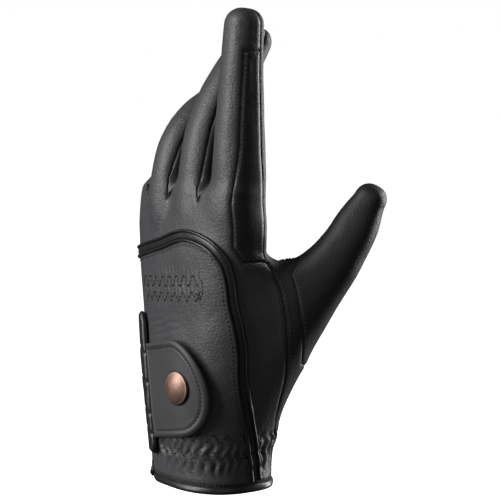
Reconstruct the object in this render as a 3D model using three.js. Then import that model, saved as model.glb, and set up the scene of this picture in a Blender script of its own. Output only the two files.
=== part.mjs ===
// A left-hand riding glove in thin leather, standing on its cuff in the shape of the worn hand.
// Frame, millimetres: origin at the middle of the wrist opening, +Z towards the fingertips,
// +Y out of the palm, +X towards the thumb.
import * as THREE from "three";

// Leather, seams and clearances
const LEATHER = 1.2;
const SEAM_GAP = 0.3;
const SEAT_GAP = 0.4;
const TRIM_SEAT = 0.6;

// Hand and cuff
const PALM_LENGTH = 132;
const WRIST_BREADTH = 61.6;
const WRIST_DEPTH = 45;
const KNUCKLE_DEPTH = 28;
const KNUCKLE_DROP = 7.5;
const FINGER_GAP = 0.8;
const CROTCH_RISE = 6.5;
const HEM_HEIGHT = 3.4;
const HEM_ROLL = 0.5;

// Fingers from the little finger to the index: length from the root inside the palm, widest
// breadth and depth, and the root's place (rise in shares of the palm length, drop in millimetres)
const FINGERS = [
  { name: "little", length: 69, breadth: 17.8, depth: 18, rise: 0.655, drop: -1.6, lean: -0.9 },
  { name: "ring", length: 97, breadth: 19.4, depth: 21, rise: 0.7, drop: -12, lean: 2 },
  { name: "middle", length: 115, breadth: 21, depth: 22, rise: 0.69, drop: -11, lean: 0.5 },
  { name: "index", length: 115, breadth: 22.2, depth: 23.4, rise: 0.69, drop: -8.7, lean: 2 },
];
const THUMB = {
  name: "thumb", length: 118.5, breadth: 30, depth: 30, rise: 0.247, side: 10, drop: 2.9, turn: 36.7,
};

// Each digit along its length: share of the length, bend in degrees, shares of breadth and depth
const CURVES = {
  little: [[0, -4, 0.4, 0.4], [0.21, -6, 0.8, 0.75], [0.38, -4, 0.98, 0.97], [0.52, 2, 1, 1],
    [0.66, 22, 0.98, 1], [0.82, 42, 0.93, 0.93], [1, 47, 0.86, 0.82]],
  ring: [[0, 0, 0.4, 0.4], [0.14, -1, 0.8, 0.7], [0.27, -1, 0.96, 0.93], [0.39, 1, 1, 1],
    [0.56, 14, 0.98, 0.98], [0.71, 38, 0.94, 0.94], [0.87, 57, 0.88, 0.86], [1, 64, 0.81, 0.78]],
  middle: [[0, 2, 0.36, 0.36], [0.14, 2, 0.8, 0.7], [0.25, 3, 0.98, 0.93], [0.38, 4, 1, 1],
    [0.53, 10, 1, 1], [0.71, 25, 0.95, 0.92], [0.88, 36, 0.87, 0.81], [1, 33, 0.79, 0.72]],
  index: [[0, 8, 0.36, 0.36], [0.12, 6, 0.84, 0.82], [0.25, 2, 1, 1.02], [0.39, 0, 0.99, 1],
    [0.54, 0, 0.94, 0.95], [0.73, 1, 0.86, 0.84], [0.88, 2, 0.79, 0.77], [1, 3, 0.76, 0.71]],
  thumb: [[0, 36, 0.44, 0.44], [0.14, 34, 0.68, 0.68], [0.32, 35, 0.9, 0.9], [0.56, 37, 0.86, 0.86],
    [0.77, 33, 0.75, 0.74], [0.9, 28, 0.66, 0.64], [1, 28, 0.5, 0.48]],
};

// Palm and cuff: share of the palm length, breadth and depth between wrist (0) and knuckles (1),
// share of the knuckle drop, turn in degrees, dorsal corner share, thumb-side seam share
const PALM = [
  [-0.19, 0.03, -0.04, 0, 0, 0.86, 0.7],
  [0, 0.02, -0.02, 0, 0, 0.86, 0.7],
  [0.17, -0.04, -0.02, 0, 0, 0.86, 0.62],
  [0.38, 0.29, 0.03, 0.13, 0, 0.87, 0.4],
  [0.57, 0.68, 0.29, 0.33, 0, 0.89, 0.38],
  [0.74, 0.95, 0.6, 0.67, -1, 0.93, 0.46],
  [0.87, 0.98, 0.95, 1, -1, 0.95, 0.6],
  [0.94, 0.95, 1.13, 1.08, -1, 0.93, 0.66],
  [1, 0.87, 1.38, 1.15, -1, 0.9, 0.7],
];
const PALM_ROUNDNESS = 2.5;
const DIGIT_ROUNDNESS = 2.3;
const FINGER_BLEND = 5;
const THUMB_WEB = 30;
const CREASE = 0.6;

// Mesh columns round the palm from the little-finger seam, and rows up it
const SIDE_COLUMNS = 4;
const SPAN_COLUMNS = 4;
const BACK_START = SIDE_COLUMNS / 2;
const BACK_END = BACK_START + 4 * SPAN_COLUMNS;
const PALM_START = BACK_END + SIDE_COLUMNS;
const PALM_END = PALM_START + 4 * SPAN_COLUMNS;
const COLUMNS = PALM_END + SIDE_COLUMNS / 2;
const ROWS = 20;
const CROTCH_SHARE = 0.985;
const DIGIT_STEP = 6.5;
const CURVE_STEPS = 4;
const CAP_TILTS = [32, 62];
const TRIM_STEPS = 46;
const CUT_SNAP = 0.9;

// Thumb hole in the palm, by column and by share of the palm length
const THUMB_COLUMNS = [PALM_START + 1, PALM_START + 6];
const THUMB_SHARES = [0.4, 0.73];
const THUMB_HOLE_ROUNDNESS = 2.8;
const SIDE_PANEL_SHARE = 0.79;

// Seams along the fingers: degrees from the middle of the back, at the root and at the tip
const BACK_SEAM = [50, 62];
const PALM_SEAM = [125, 116];
const FOURCHETTE_END = 0.86;
const SIDE_PANEL_END = 0.87;

// Trim line over the back: column, share of the palm length
const TRIM = [
  [0, 0.745], [2.2, 0.776], [5.5, 0.8], [9.2, 0.832], [12.3, 0.868], [14.2, 0.868], [16.1, 0.845],
  [17.3, 0.8], [17.8, 0.745], [18.2, 0.66], [18.8, 0.575], [19.2, 0.49], [19.4, 0.39], [19.7, 0.29],
  [20.1, 0.16], [20.4, 0.03],
];
const TRIM_WIDTH = 2.6;
const TRIM_THICKNESS = 0.8;
const PIPING_DIAMETER = 1.3;
const PIPING_SIDES = 5;

// Vent up the back of the cuff on the little-finger side
const VENT_COLUMN = 5;
const VENT_WIDTH = 2.8;
const VENT_TOP = 68;
const VENT_EYE = 3.6;
const VENT_CORNER = 7;

// Closing strap, by distance round the cuff from the middle of the back
const STRAP_ROOT = -12.5;
const STRAP_LENGTH = 41;
const STRAP_WIDTH = 43;
const STRAP_NOSE = 17;
const STRAP_THICKNESS = 2;
const STRAP_LIFT = 2.2;
const STRAP_HEIGHT = 41.9;
const STRAP_TILT = 12;
const FACING_WIDTH = 8;
const FACING_LENGTH = 64;
const FACING_BASE = 13;
const FACING_THICKNESS = 3;
const STRAP_STEPS = [13, 8];
const FACING_STEPS = [16, 3];

// Snap fastener
const SNAP_DIAMETER = 15.4;
const SNAP_HEIGHT = 2.6;
const SNAP_RIM = 1;
const SNAP_PLACE = 26.7;
const STUD_DIAMETER = 8;
const STUD_GAP = 0.6;
const SNAP_SIDES = 20;

const COLOURS = {
  leather: { color: 0x2e2e30, roughness: 0.55, metalness: 0 },
  side: { color: 0x242426, roughness: 0.55, metalness: 0 },
  trim: { color: 0x1b1b1d, roughness: 0.5, metalness: 0 },
  brass: { color: 0xa8825f, roughness: 0.35, metalness: 0.9 },
};

// Curves through rows of numbers
function catmull(a, b, c, d, t) {
  return 0.5 * (2 * b + (c - a) * t + (2 * a - 5 * b + 4 * c - d) * t * t + (3 * b - a - 3 * c + d) * t ** 3);
}

function extended(rows) {
  const last = rows.length - 1;
  const before = rows[0].map((value, i) => 2 * value - rows[1][i]);
  const after = rows[last].map((value, i) => 2 * value - rows[last - 1][i]);
  return [before, ...rows, after];
}

function between(rows, index, t) {
  const [before, from, to, after] = rows.slice(index, index + 4);
  return from.map((_, i) => catmull(before[i], from[i], to[i], after[i], t));
}

function lookUp(rows, key) {
  const last = rows.length - 2;
  const index = Math.max(0, Math.min(last, rows.findIndex((row) => row[0] > key) - 1));
  const at = key >= rows[rows.length - 1][0] ? last : index;
  const t = THREE.MathUtils.clamp((key - rows[at][0]) / (rows[at + 1][0] - rows[at][0]), 0, 1);
  return between(extended(rows), at, t);
}

function smooth(x, low, high) {
  return THREE.MathUtils.smoothstep(x, low, high);
}

function blend(a, b, radius) {
  const h = Math.max(radius - Math.abs(a - b), 0) / radius;
  return Math.min(a, b) - h * h * radius * 0.25;
}

// Finger roots stacked side by side across the knuckles
const KNUCKLE_BREADTH = FINGERS.reduce((sum, finger) => sum + finger.breadth, 0) + 3 * FINGER_GAP;
const BOUNDARIES = [];
let reach = -KNUCKLE_BREADTH / 2;
for (const finger of FINGERS) {
  BOUNDARIES.push(reach - FINGER_GAP / 2);
  finger.side = reach + finger.breadth / 2;
  reach += finger.breadth + FINGER_GAP;
}

// Centre line of a digit, with its sideways direction and half sizes at each step
function digitLine(digit) {
  const rows = CURVES[digit.name];
  const table = extended(rows);
  const turn = THREE.MathUtils.degToRad(digit.turn === undefined ? 0 : digit.turn - 90);
  const across = new THREE.Vector3(Math.cos(turn), Math.sin(turn), 0);
  const samples = [];
  for (let i = 0; i < rows.length - 1; i += 1) {
    for (let s = 0; s < CURVE_STEPS; s += 1) samples.push(between(table, i, s / CURVE_STEPS));
  }
  samples.push(rows[rows.length - 1]);
  const lean = Math.tan(THREE.MathUtils.degToRad(digit.lean || 0));
  const stations = samples.map(([share, bend, breadth, depth]) => {
    const flex = THREE.MathUtils.degToRad(bend);
    const along = new THREE.Vector3(lean, Math.sin(flex), Math.cos(flex)).normalize();
    along.applyAxisAngle(new THREE.Vector3(0, 0, 1), turn);
    const sideways = across.clone().addScaledVector(along, -across.dot(along)).normalize();
    return { share, along, sideways, half: [breadth * digit.breadth / 2, depth * digit.depth / 2] };
  });
  stations[0].at = new THREE.Vector3(digit.side, digit.drop, digit.rise * PALM_LENGTH);
  for (let i = 1; i < stations.length; i += 1) {
    const step = stations[i].along.clone().add(stations[i - 1].along).normalize();
    const length = (stations[i].share - stations[i - 1].share) * digit.length;
    stations[i].at = stations[i - 1].at.clone().addScaledVector(step, length);
  }
  return stations;
}

const LINES = {};
for (const digit of [...FINGERS, THUMB]) LINES[digit.name] = digitLine(digit);

// Place on a centre line at a station number that need not be whole
function station(line, number) {
  const i = Math.max(0, Math.min(line.length - 2, Math.floor(number)));
  const t = THREE.MathUtils.clamp(number - i, 0, 1);
  const along = line[i].along.clone().lerp(line[i + 1].along, t).normalize();
  const sideways = line[i].sideways.clone().lerp(line[i + 1].sideways, t);
  sideways.addScaledVector(along, -sideways.dot(along)).normalize();
  return {
    at: line[i].at.clone().lerp(line[i + 1].at, t),
    along,
    sideways,
    palmward: along.clone().cross(sideways),
    half: line[i].half.map((value, k) => THREE.MathUtils.lerp(value, line[i + 1].half[k], t)),
  };
}

function nearestNumber(line, p) {
  let best = Infinity;
  let number = 0;
  for (let i = 0; i < line.length - 1; i += 1) {
    const a = line[i].at;
    const b = line[i + 1].at;
    const [dx, dy, dz] = [b.x - a.x, b.y - a.y, b.z - a.z];
    const dot = (p.x - a.x) * dx + (p.y - a.y) * dy + (p.z - a.z) * dz;
    const t = THREE.MathUtils.clamp(dot / (dx * dx + dy * dy + dz * dz), 0, 1);
    const gap = (p.x - a.x - t * dx) ** 2 + (p.y - a.y - t * dy) ** 2 + (p.z - a.z - t * dz) ** 2;
    if (gap < best) {
      best = gap;
      number = i + t;
    }
  }
  return number;
}

// Distance, to first order, from a rounded section with the given half sizes
function roundedDistance(x, y, z, halfX, halfY, halfZ, n) {
  const [a, b, c] = [Math.abs(x) / halfX, Math.abs(y) / halfY, Math.abs(z) / halfZ];
  const k = (a ** n + b ** n + c ** n) ** (1 / n) + 1e-9;
  const slope = k ** (1 - n) * Math.hypot(a ** (n - 1) / halfX, b ** (n - 1) / halfY, c ** (n - 1) / halfZ);
  return (k - 1) / Math.max(slope, 1 / Math.max(halfX, halfY));
}

function digitDistance(name, p) {
  const line = LINES[name];
  const number = nearestNumber(line, p);
  const s = station(line, number);
  const from = p.clone().sub(s.at);
  const atEnd = number <= 0 || number >= line.length - 1;
  return roundedDistance(from.dot(s.sideways), from.dot(s.palmward), atEnd ? from.dot(s.along) : 0,
    s.half[0], s.half[1], Math.min(...s.half), DIGIT_ROUNDNESS);
}

function palmSection(z) {
  const share = THREE.MathUtils.clamp(z / PALM_LENGTH, PALM[0][0], PALM[PALM.length - 1][0]);
  const row = lookUp(PALM, share);
  return {
    z: share * PALM_LENGTH,
    halfBreadth: THREE.MathUtils.lerp(WRIST_BREADTH, KNUCKLE_BREADTH, row[1]) / 2,
    halfDepth: THREE.MathUtils.lerp(WRIST_DEPTH, KNUCKLE_DEPTH, row[2]) / 2,
    middle: -KNUCKLE_DROP * row[3],
    turn: THREE.MathUtils.degToRad(row[4]),
    corner: row[5],
    seam: row[6],
  };
}

function palmDistance(p) {
  const s = palmSection(p.z);
  const [x, y] = [p.x, p.y - s.middle];
  const [c, q] = [Math.cos(s.turn), Math.sin(s.turn)];
  return roundedDistance(x * c + y * q, y * c - x * q, p.z - s.z, s.halfBreadth, s.halfDepth,
    s.halfDepth / 2, PALM_ROUNDNESS);
}

// The whole hand: below zero inside, above zero outside
function handDistance(p) {
  const palm = palmDistance(p);
  const radius = CREASE + FINGER_BLEND * smooth(p.z / PALM_LENGTH, 0.82, 1);
  let all = Infinity;
  for (const finger of FINGERS) {
    const one = blend(digitDistance(finger.name, p), palm, radius);
    all = all === Infinity ? one : blend(one, all, CREASE);
  }
  return blend(digitDistance("thumb", p), all, THUMB_WEB);
}

function outward(p, distance) {
  const h = 0.4;
  const slope = new THREE.Vector3();
  for (const axis of ["x", "y", "z"]) {
    const [front, back] = [p.clone(), p.clone()];
    front[axis] += h;
    back[axis] -= h;
    slope[axis] = distance(front) - distance(back);
  }
  return slope.normalize();
}

// First point outside, from an inner point along a direction
function shoot(from, direction, distance) {
  const p = from.clone();
  let value = distance(p);
  let travelled = 0;
  let step = 0;
  while (value < 0) {
    step = Math.max(-value * 0.7, 0.5);
    travelled += step;
    p.copy(from).addScaledVector(direction, travelled);
    value = distance(p);
  }
  let [low, high] = [travelled - step, travelled];
  for (let i = 0; i < 14; i += 1) {
    const middle = (low + high) / 2;
    p.copy(from).addScaledVector(direction, middle);
    if (distance(p) < 0) low = middle;
    else high = middle;
  }
  return p.copy(from).addScaledVector(direction, (low + high) / 2);
}

// Point of the palm's plain section at a column, before the digits are blended in
function sectionPoint(column, z) {
  const s = palmSection(z);
  const n = PALM_ROUNDNESS;
  const other = (share) => Math.max(0, 1 - Math.abs(share) ** n) ** (1 / n);
  const cornerY = other(s.corner);
  const seamX = other(s.seam);
  const spread = smooth(z / PALM_LENGTH, 0.3, CROTCH_SHARE);
  const stops = [0, 1, 2, 3, 4].map((i) => {
    const even = -s.corner + (i / 4) * 2 * s.corner;
    if (i === 0 || i === 4) return even;
    return THREE.MathUtils.lerp(even, BOUNDARIES[i] / s.halfBreadth, spread);
  });
  let [x, y] = [0, 0];
  if (column < BACK_START) {
    y = -cornerY * (column / BACK_START);
    x = -other(y);
  } else if (column <= BACK_END) {
    const at = Math.min(3, Math.floor((column - BACK_START) / SPAN_COLUMNS));
    x = THREE.MathUtils.lerp(stops[at], stops[at + 1], (column - BACK_START) / SPAN_COLUMNS - at);
    y = -other(x);
  } else if (column < PALM_START) {
    y = THREE.MathUtils.lerp(-cornerY, s.seam, (column - BACK_END) / SIDE_COLUMNS);
    x = other(y);
  } else if (column <= PALM_END) {
    const ends = [seamX, stops[3], stops[2], stops[1], -s.corner];
    const at = Math.min(3, Math.floor((column - PALM_START) / SPAN_COLUMNS));
    x = THREE.MathUtils.lerp(ends[at], ends[at + 1], (column - PALM_START) / SPAN_COLUMNS - at);
    y = other(x);
  } else {
    y = cornerY * (COLUMNS - column) / (COLUMNS - PALM_END);
    x = -other(y);
  }
  return { x: x * s.halfBreadth, y: s.middle + y * s.halfDepth, middle: s.middle };
}

function skinPoint(column, z) {
  const { x, y, middle } = sectionPoint(column, z);
  const from = new THREE.Vector3(0, middle, z);
  return shoot(from, new THREE.Vector3(x, y - middle, 0).normalize(), handDistance);
}

// Outer skin as triangles; palm points remember their column and height
const skin = { points: [], faces: [] };

function addPoint(at, column, z) {
  skin.points.push({ at, column, z });
  return skin.points.length - 1;
}

function addQuad(a, b, c, d, piece) {
  const [pa, pb, pc, pd] = [a, b, c, d].map((i) => skin.points[i].at);
  const short = pa.distanceTo(pc) <= pb.distanceTo(pd);
  const halves = short ? [[a, b, c], [a, c, d]] : [[a, b, d], [b, c, d]];
  for (const corners of halves) skin.faces.push({ corners, piece });
}

const crotchHeight = PALM_LENGTH * CROTCH_SHARE;
const heights = [0];
for (let row = 0; row <= ROWS; row += 1) {
  heights.push(THREE.MathUtils.lerp(HEM_HEIGHT, crotchHeight, row / ROWS));
}
const nearestRow = (share) => heights.reduce((best, z, row) =>
  (Math.abs(z - share * PALM_LENGTH) < Math.abs(heights[best] - share * PALM_LENGTH) ? row : best), 0);
const THUMB_ROWS = THUMB_SHARES.map(nearestRow);
const SIDE_PANEL_ROW = nearestRow(SIDE_PANEL_SHARE);
const inThumbHole = (row, column) => row > THUMB_ROWS[0] && row < THUMB_ROWS[1]
  && column > THUMB_COLUMNS[0] && column < THUMB_COLUMNS[1];

const palmGrid = heights.map((z, row) => {
  const ring = [];
  for (let column = 0; column < COLUMNS; column += 1) {
    ring.push(inThumbHole(row, column) ? -1 : addPoint(skinPoint(column, z), column, z));
  }
  return ring;
});

function palmPiece(row, column) {
  if (row === 0) return "hem_binding";
  if (column >= BACK_END && column < PALM_START && row >= SIDE_PANEL_ROW) return "index_side_panel";
  return column < PALM_START ? "back_panel" : "palm_panel";
}

for (let row = 0; row < heights.length - 1; row += 1) {
  for (let column = 0; column < COLUMNS; column += 1) {
    const next = (column + 1) % COLUMNS;
    const hole = row >= THUMB_ROWS[0] && row < THUMB_ROWS[1]
      && column >= THUMB_COLUMNS[0] && column < THUMB_COLUMNS[1];
    if (hole) continue;
    const [a, b] = [palmGrid[row][column], palmGrid[row][next]];
    const [c, d] = [palmGrid[row + 1][next], palmGrid[row + 1][column]];
    if (row === SIDE_PANEL_ROW && column === BACK_END) {
      skin.faces.push({ corners: [a, b, d], piece: "back_panel" });
      skin.faces.push({ corners: [b, c, d], piece: "index_side_panel" });
    } else {
      addQuad(a, b, c, d, palmPiece(row, column));
    }
  }
}

// A digit's tube from a loop of points already on the skin to a closed tip
function addSleeve(name, loop, angleAt, pieceOf) {
  const line = LINES[name];
  const last = line.length - 1;
  const distance = name === "thumb" ? handDistance : (p) => digitDistance(name, p);
  const starts = loop.map((index) => {
    const number = nearestNumber(line, skin.points[index].at);
    const s = station(line, number);
    const from = skin.points[index].at.clone().sub(s.at);
    return { number, angle: Math.atan2(from.dot(s.palmward), from.dot(s.sideways)) };
  });
  const lengths = line.map((s, i) => (i === 0 ? 0 : s.at.distanceTo(line[i - 1].at)));
  const rest = starts.map(({ number }) => lengths.reduce((sum, l, i) => sum + (i > number ? l : 0), 0));
  const rings = Math.max(4, Math.round(rest.reduce((a, b) => a + b, 0) / rest.length / DIGIT_STEP));
  let previous = loop;
  for (let ring = 1; ring <= rings + CAP_TILTS.length; ring += 1) {
    const share = Math.min(1, ring / rings);
    const tilt = ring > rings ? THREE.MathUtils.degToRad(CAP_TILTS[ring - rings - 1]) : 0;
    const settle = smooth(ring, 0, 4);
    const current = starts.map((start, j) => {
      const number = THREE.MathUtils.lerp(start.number, last, share);
      const s = station(line, number);
      const wanted = angleAt(j, number / last, starts);
      const turns = Math.round((start.angle - wanted) / (2 * Math.PI)) * 2 * Math.PI;
      const angle = THREE.MathUtils.lerp(start.angle - turns, wanted, settle);
      const direction = s.sideways.clone().multiplyScalar(Math.cos(angle) * Math.cos(tilt));
      direction.addScaledVector(s.palmward, Math.sin(angle) * Math.cos(tilt));
      direction.addScaledVector(s.along, Math.sin(tilt));
      return addPoint(shoot(s.at, direction, distance));
    });
    for (let j = 0; j < loop.length; j += 1) {
      const k = (j + 1) % loop.length;
      addQuad(previous[j], previous[k], current[k], current[j], pieceOf(j, ring, share));
    }
    previous = current;
  }
  const end = line[last];
  const tip = addPoint(shoot(end.at, end.along, distance));
  previous.forEach((index, j) => {
    const corners = [index, previous[(j + 1) % previous.length], tip];
    skin.faces.push({ corners, piece: pieceOf(j, rings + CAP_TILTS.length + 1, 1) });
  });
}

// Webs between neighbouring fingers, then the fingers
const top = palmGrid[palmGrid.length - 1];
const webs = [1, 2, 3].map((i) => {
  const back = skin.points[top[BACK_START + SPAN_COLUMNS * i]].at;
  const front = skin.points[top[PALM_END - SPAN_COLUMNS * i]].at;
  return [1, 2, 3].map((k) => {
    const at = back.clone().lerp(front, k / SIDE_COLUMNS);
    at.z += CROTCH_RISE * Math.sin(Math.PI * k / SIDE_COLUMNS) ** 0.7;
    return addPoint(at);
  });
});

const fourchettes = ["fourchette_ring_little", "fourchette_middle_ring", "fourchette_index_middle"];
FINGERS.forEach((finger, i) => {
  const range = (from, to) => Array.from({ length: to - from }, (_, k) => top[(from + k) % COLUMNS]);
  const backs = range(BACK_START + SPAN_COLUMNS * i, BACK_START + SPAN_COLUMNS * (i + 1) + 1);
  const fronts = range(PALM_END - SPAN_COLUMNS * (i + 1), PALM_END - SPAN_COLUMNS * i + 1);
  const thumbSide = i < 3 ? webs[i] : range(BACK_END + 1, PALM_START);
  const outerSide = i > 0 ? [...webs[i - 1]].reverse() : range(PALM_END + 1, COLUMNS + BACK_START);
  const loop = [...backs, ...thumbSide, ...fronts, ...outerSide];
  const angleAt = (j, share) => {
    const back = THREE.MathUtils.lerp(...BACK_SEAM, share);
    const front = THREE.MathUtils.lerp(...PALM_SEAM, share);
    const stops = [-back, back, front, 360 - front, 360 - back];
    const at = Math.floor(j / SPAN_COLUMNS);
    const degrees = THREE.MathUtils.lerp(stops[at], stops[at + 1], j / SPAN_COLUMNS - at) - 90;
    return THREE.MathUtils.degToRad(degrees);
  };
  const pieceOf = (j, ring, share) => {
    const side = Math.floor(j / SPAN_COLUMNS);
    if (side === 0) return "back_panel";
    if (side === 2) return "palm_panel";
    if (side === 1 && i === 3) return share <= SIDE_PANEL_END ? "index_side_panel" : "back_panel";
    if (side === 3 && i === 0) return j < 3.5 * SPAN_COLUMNS ? "palm_panel" : "back_panel";
    if (share <= FOURCHETTE_END) return side === 1 ? fourchettes[i] : fourchettes[i - 1];
    const nearBack = side === 1 ? j < 1.5 * SPAN_COLUMNS : j >= 3.5 * SPAN_COLUMNS;
    return nearBack ? "back_panel" : "palm_panel";
  };
  addSleeve(finger.name, loop, angleAt, pieceOf);
});

// Thumb, from the hole in the palm
const thumbLoop = [];
const [firstRow, lastRow] = THUMB_ROWS;
const [firstColumn, lastColumn] = THUMB_COLUMNS;
for (let column = firstColumn; column < lastColumn; column += 1) thumbLoop.push(palmGrid[firstRow][column]);
for (let row = firstRow; row < lastRow; row += 1) thumbLoop.push(palmGrid[row][lastColumn]);
for (let column = lastColumn; column > firstColumn; column -= 1) thumbLoop.push(palmGrid[lastRow][column]);
for (let row = lastRow; row > firstRow; row -= 1) thumbLoop.push(palmGrid[row][firstColumn]);
for (const index of thumbLoop) {
  const point = skin.points[index];
  const [column, z] = [(firstColumn + lastColumn) / 2, (heights[firstRow] + heights[lastRow]) / 2];
  const across = (point.column - column) / ((lastColumn - firstColumn) / 2);
  const up = (point.z - z) / ((heights[lastRow] - heights[firstRow]) / 2);
  const power = THUMB_HOLE_ROUNDNESS;
  const size = (Math.abs(across) ** power + Math.abs(up) ** power) ** (1 / power);
  point.column = column + (point.column - column) / size;
  point.z = z + (point.z - z) / size;
  point.at = skinPoint(point.column, point.z);
}
addSleeve("thumb", thumbLoop, (j, share, starts) => {
  const step = 2 * Math.PI / starts.length;
  let [sine, cosine] = [0, 0];
  starts.forEach(({ angle }, k) => {
    sine += Math.sin(angle - k * step);
    cosine += Math.cos(angle - k * step);
  });
  return Math.atan2(sine, cosine) + j * step;
}, () => "thumb");

// Even out the skin round a set of points, keeping it on the hand where a distance is given
function relax(seeds, reachRings, rounds, distance) {
  const neighbours = skin.points.map(() => new Set());
  for (const { corners } of skin.faces) {
    corners.forEach((a, i) => {
      neighbours[a].add(corners[(i + 1) % 3]);
      neighbours[a].add(corners[(i + 2) % 3]);
    });
  }
  const free = (index) => !(skin.points[index].column <= BACK_END + 1);
  let moving = new Set(seeds.filter(free));
  for (let i = 0; i < reachRings; i += 1) {
    moving = new Set([...moving].flatMap((index) => [index, ...neighbours[index]]).filter(free));
  }
  for (let round = 0; round < rounds; round += 1) {
    const places = new Map();
    for (const index of moving) {
      const mean = new THREE.Vector3();
      for (const other of neighbours[index]) mean.add(skin.points[other].at);
      mean.divideScalar(neighbours[index].size);
      places.set(index, skin.points[index].at.clone().lerp(mean, 0.6));
    }
    for (const [index, at] of places) {
      if (distance) at.addScaledVector(outward(at, distance), -distance(at));
      skin.points[index].at.copy(at);
    }
  }
}

relax(webs.flat(), 1, 3, null);
relax(thumbLoop, 3, 14, handDistance);

const edgeKey = (a, b) => (a < b ? `${a} ${b}` : `${b} ${a}`);

// Split the palm triangles along the zero line of a level given by column and height
function cut(level, applies, renamed) {
  const onBack = (index) => skin.points[index].column <= PALM_START;
  const chosen = (face) => applies(face) && face.corners.every(onBack);
  const values = new Map();
  for (const face of skin.faces.filter(chosen)) {
    for (const index of face.corners) values.set(index, null);
  }
  const lockedHeights = new Set([heights[0], heights[1]]);
  for (const index of values.keys()) {
    const point = skin.points[index];
    const value = level(point.column, point.z);
    const slopeColumn = (level(point.column + 0.01, point.z) - value) / 0.01;
    const slopeHeight = lockedHeights.has(point.z) ? 0 : (level(point.column, point.z + 0.01) - value) / 0.01;
    const columnStep = point.column === 0 ? 0 : slopeColumn / 16;
    const reachable = slopeColumn * columnStep + slopeHeight ** 2;
    if (Math.abs(value) < CUT_SNAP && reachable > 0.01) {
      point.column -= value * columnStep / reachable;
      point.z -= value * slopeHeight / reachable;
      point.at = skinPoint(point.column, point.z);
      values.set(index, 0);
    } else {
      values.set(index, value);
    }
  }
  const crossings = new Map();
  const crossing = (a, b) => {
    const key = edgeKey(a, b);
    if (!crossings.has(key)) {
      const [p, q] = [skin.points[a], skin.points[b]];
      let [low, high] = values.get(a) < 0 ? [p, q] : [q, p];
      for (let i = 0; i < 12; i += 1) {
        const middle = { column: (low.column + high.column) / 2, z: (low.z + high.z) / 2 };
        if (level(middle.column, middle.z) < 0) low = middle;
        else high = middle;
      }
      const [column, z] = [(low.column + high.column) / 2, (low.z + high.z) / 2];
      crossings.set(key, addPoint(skinPoint(column, z), column, z));
      values.set(crossings.get(key), 0);
    }
    return crossings.get(key);
  };
  skin.faces = skin.faces.flatMap((face) => {
    if (!chosen(face)) return [face];
    const signs = face.corners.map((index) => Math.sign(values.get(index)));
    const low = signs.filter((sign) => sign < 0).length;
    const high = signs.filter((sign) => sign > 0).length;
    if (low === 0 || high === 0) return [{ corners: face.corners, piece: renamed(face.piece, high > 0) }];
    const turned = (i) => [0, 1, 2].map((k) => face.corners[(i + k) % 3]);
    const made = (corners, isHigh) => ({ corners, piece: renamed(face.piece, isHigh) });
    if (low + high === 2) {
      const [a, b, c] = turned(signs.indexOf(0));
      const x = crossing(b, c);
      return [made([a, b, x], values.get(b) > 0), made([a, x, c], values.get(c) > 0)];
    }
    const alone = low === 1 ? -1 : 1;
    const [a, b, c] = turned(signs.indexOf(alone));
    const [x, y] = [crossing(a, b), crossing(a, c)];
    return [made([a, x, y], alone > 0), made([x, b, c], alone < 0), made([x, c, y], alone < 0)];
  }).filter((face) => face.piece);
  skin.faces = skin.faces.flatMap((face) => {
    const i = [0, 1, 2].find((k) => crossings.has(edgeKey(face.corners[k], face.corners[(k + 1) % 3])));
    if (i === undefined) return [face];
    const [a, b, c] = [0, 1, 2].map((k) => face.corners[(i + k) % 3]);
    const x = crossings.get(edgeKey(a, b));
    return [{ corners: [a, x, c], piece: face.piece }, { corners: [x, b, c], piece: face.piece }];
  });
}

// Trim line as a smooth curve; the level is positive below and towards the little finger
const trimPlaces = TRIM.map(([column, share]) => new THREE.Vector2(column, share * PALM_LENGTH));
const trimCurve = new THREE.SplineCurve(trimPlaces);
const COLUMN_WIDTH = KNUCKLE_BREADTH / (BACK_END - BACK_START);
const trimSamples = trimCurve.getSpacedPoints(90);

function trimLevel(column, z) {
  let best = Infinity;
  let signed = 0;
  for (let i = 0; i < trimSamples.length - 1; i += 1) {
    const [a, b] = [trimSamples[i], trimSamples[i + 1]];
    const [dx, dz] = [(b.x - a.x) * COLUMN_WIDTH, b.y - a.y];
    const [px, pz] = [(column - a.x) * COLUMN_WIDTH, z - a.y];
    const beyond = (i === trimSamples.length - 2) ? Infinity : 1;
    const along = (px * dx + pz * dz) / (dx * dx + dz * dz);
    const t = THREE.MathUtils.clamp(along, i === 0 ? -Infinity : 0, beyond);
    const gap = Math.hypot(px - t * dx, pz - t * dz);
    if (gap < best) {
      best = gap;
      signed = Math.sign(dz * px - dx * pz) * gap;
    }
  }
  return signed;
}

const isPalmBack = (face) => face.piece === "back_panel" || face.piece === "hem_binding";
cut(trimLevel, isPalmBack, (piece, high) => (piece === "back_panel" && high ? "wrist_back_panel" : piece));

// Vent: a narrow slit with a round eye above and rounded corners at the hem
const ventMiddle = (z) => sectionPoint(VENT_COLUMN, z).x;

function ventLevel(column, z) {
  const eye = VENT_EYE ** 2 - (z - VENT_TOP) ** 2;
  const corner = z < VENT_CORNER ? VENT_CORNER - Math.sqrt(VENT_CORNER ** 2 - (VENT_CORNER - z) ** 2) : 0;
  const slit = VENT_WIDTH / 2 + corner;
  const past = VENT_TOP + VENT_EYE - z;
  const round = eye > 0 ? Math.sqrt(eye) : Math.min(past, 0);
  const half = z < VENT_TOP ? Math.max(slit, round) : round;
  return half - Math.abs(sectionPoint(column, z).x - ventMiddle(z));
}

const isVentSide = (face) => face.piece === "wrist_back_panel" || face.piece === "hem_binding";
cut(ventLevel, isVentSide, (piece, high) => (high ? null : piece));

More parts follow.
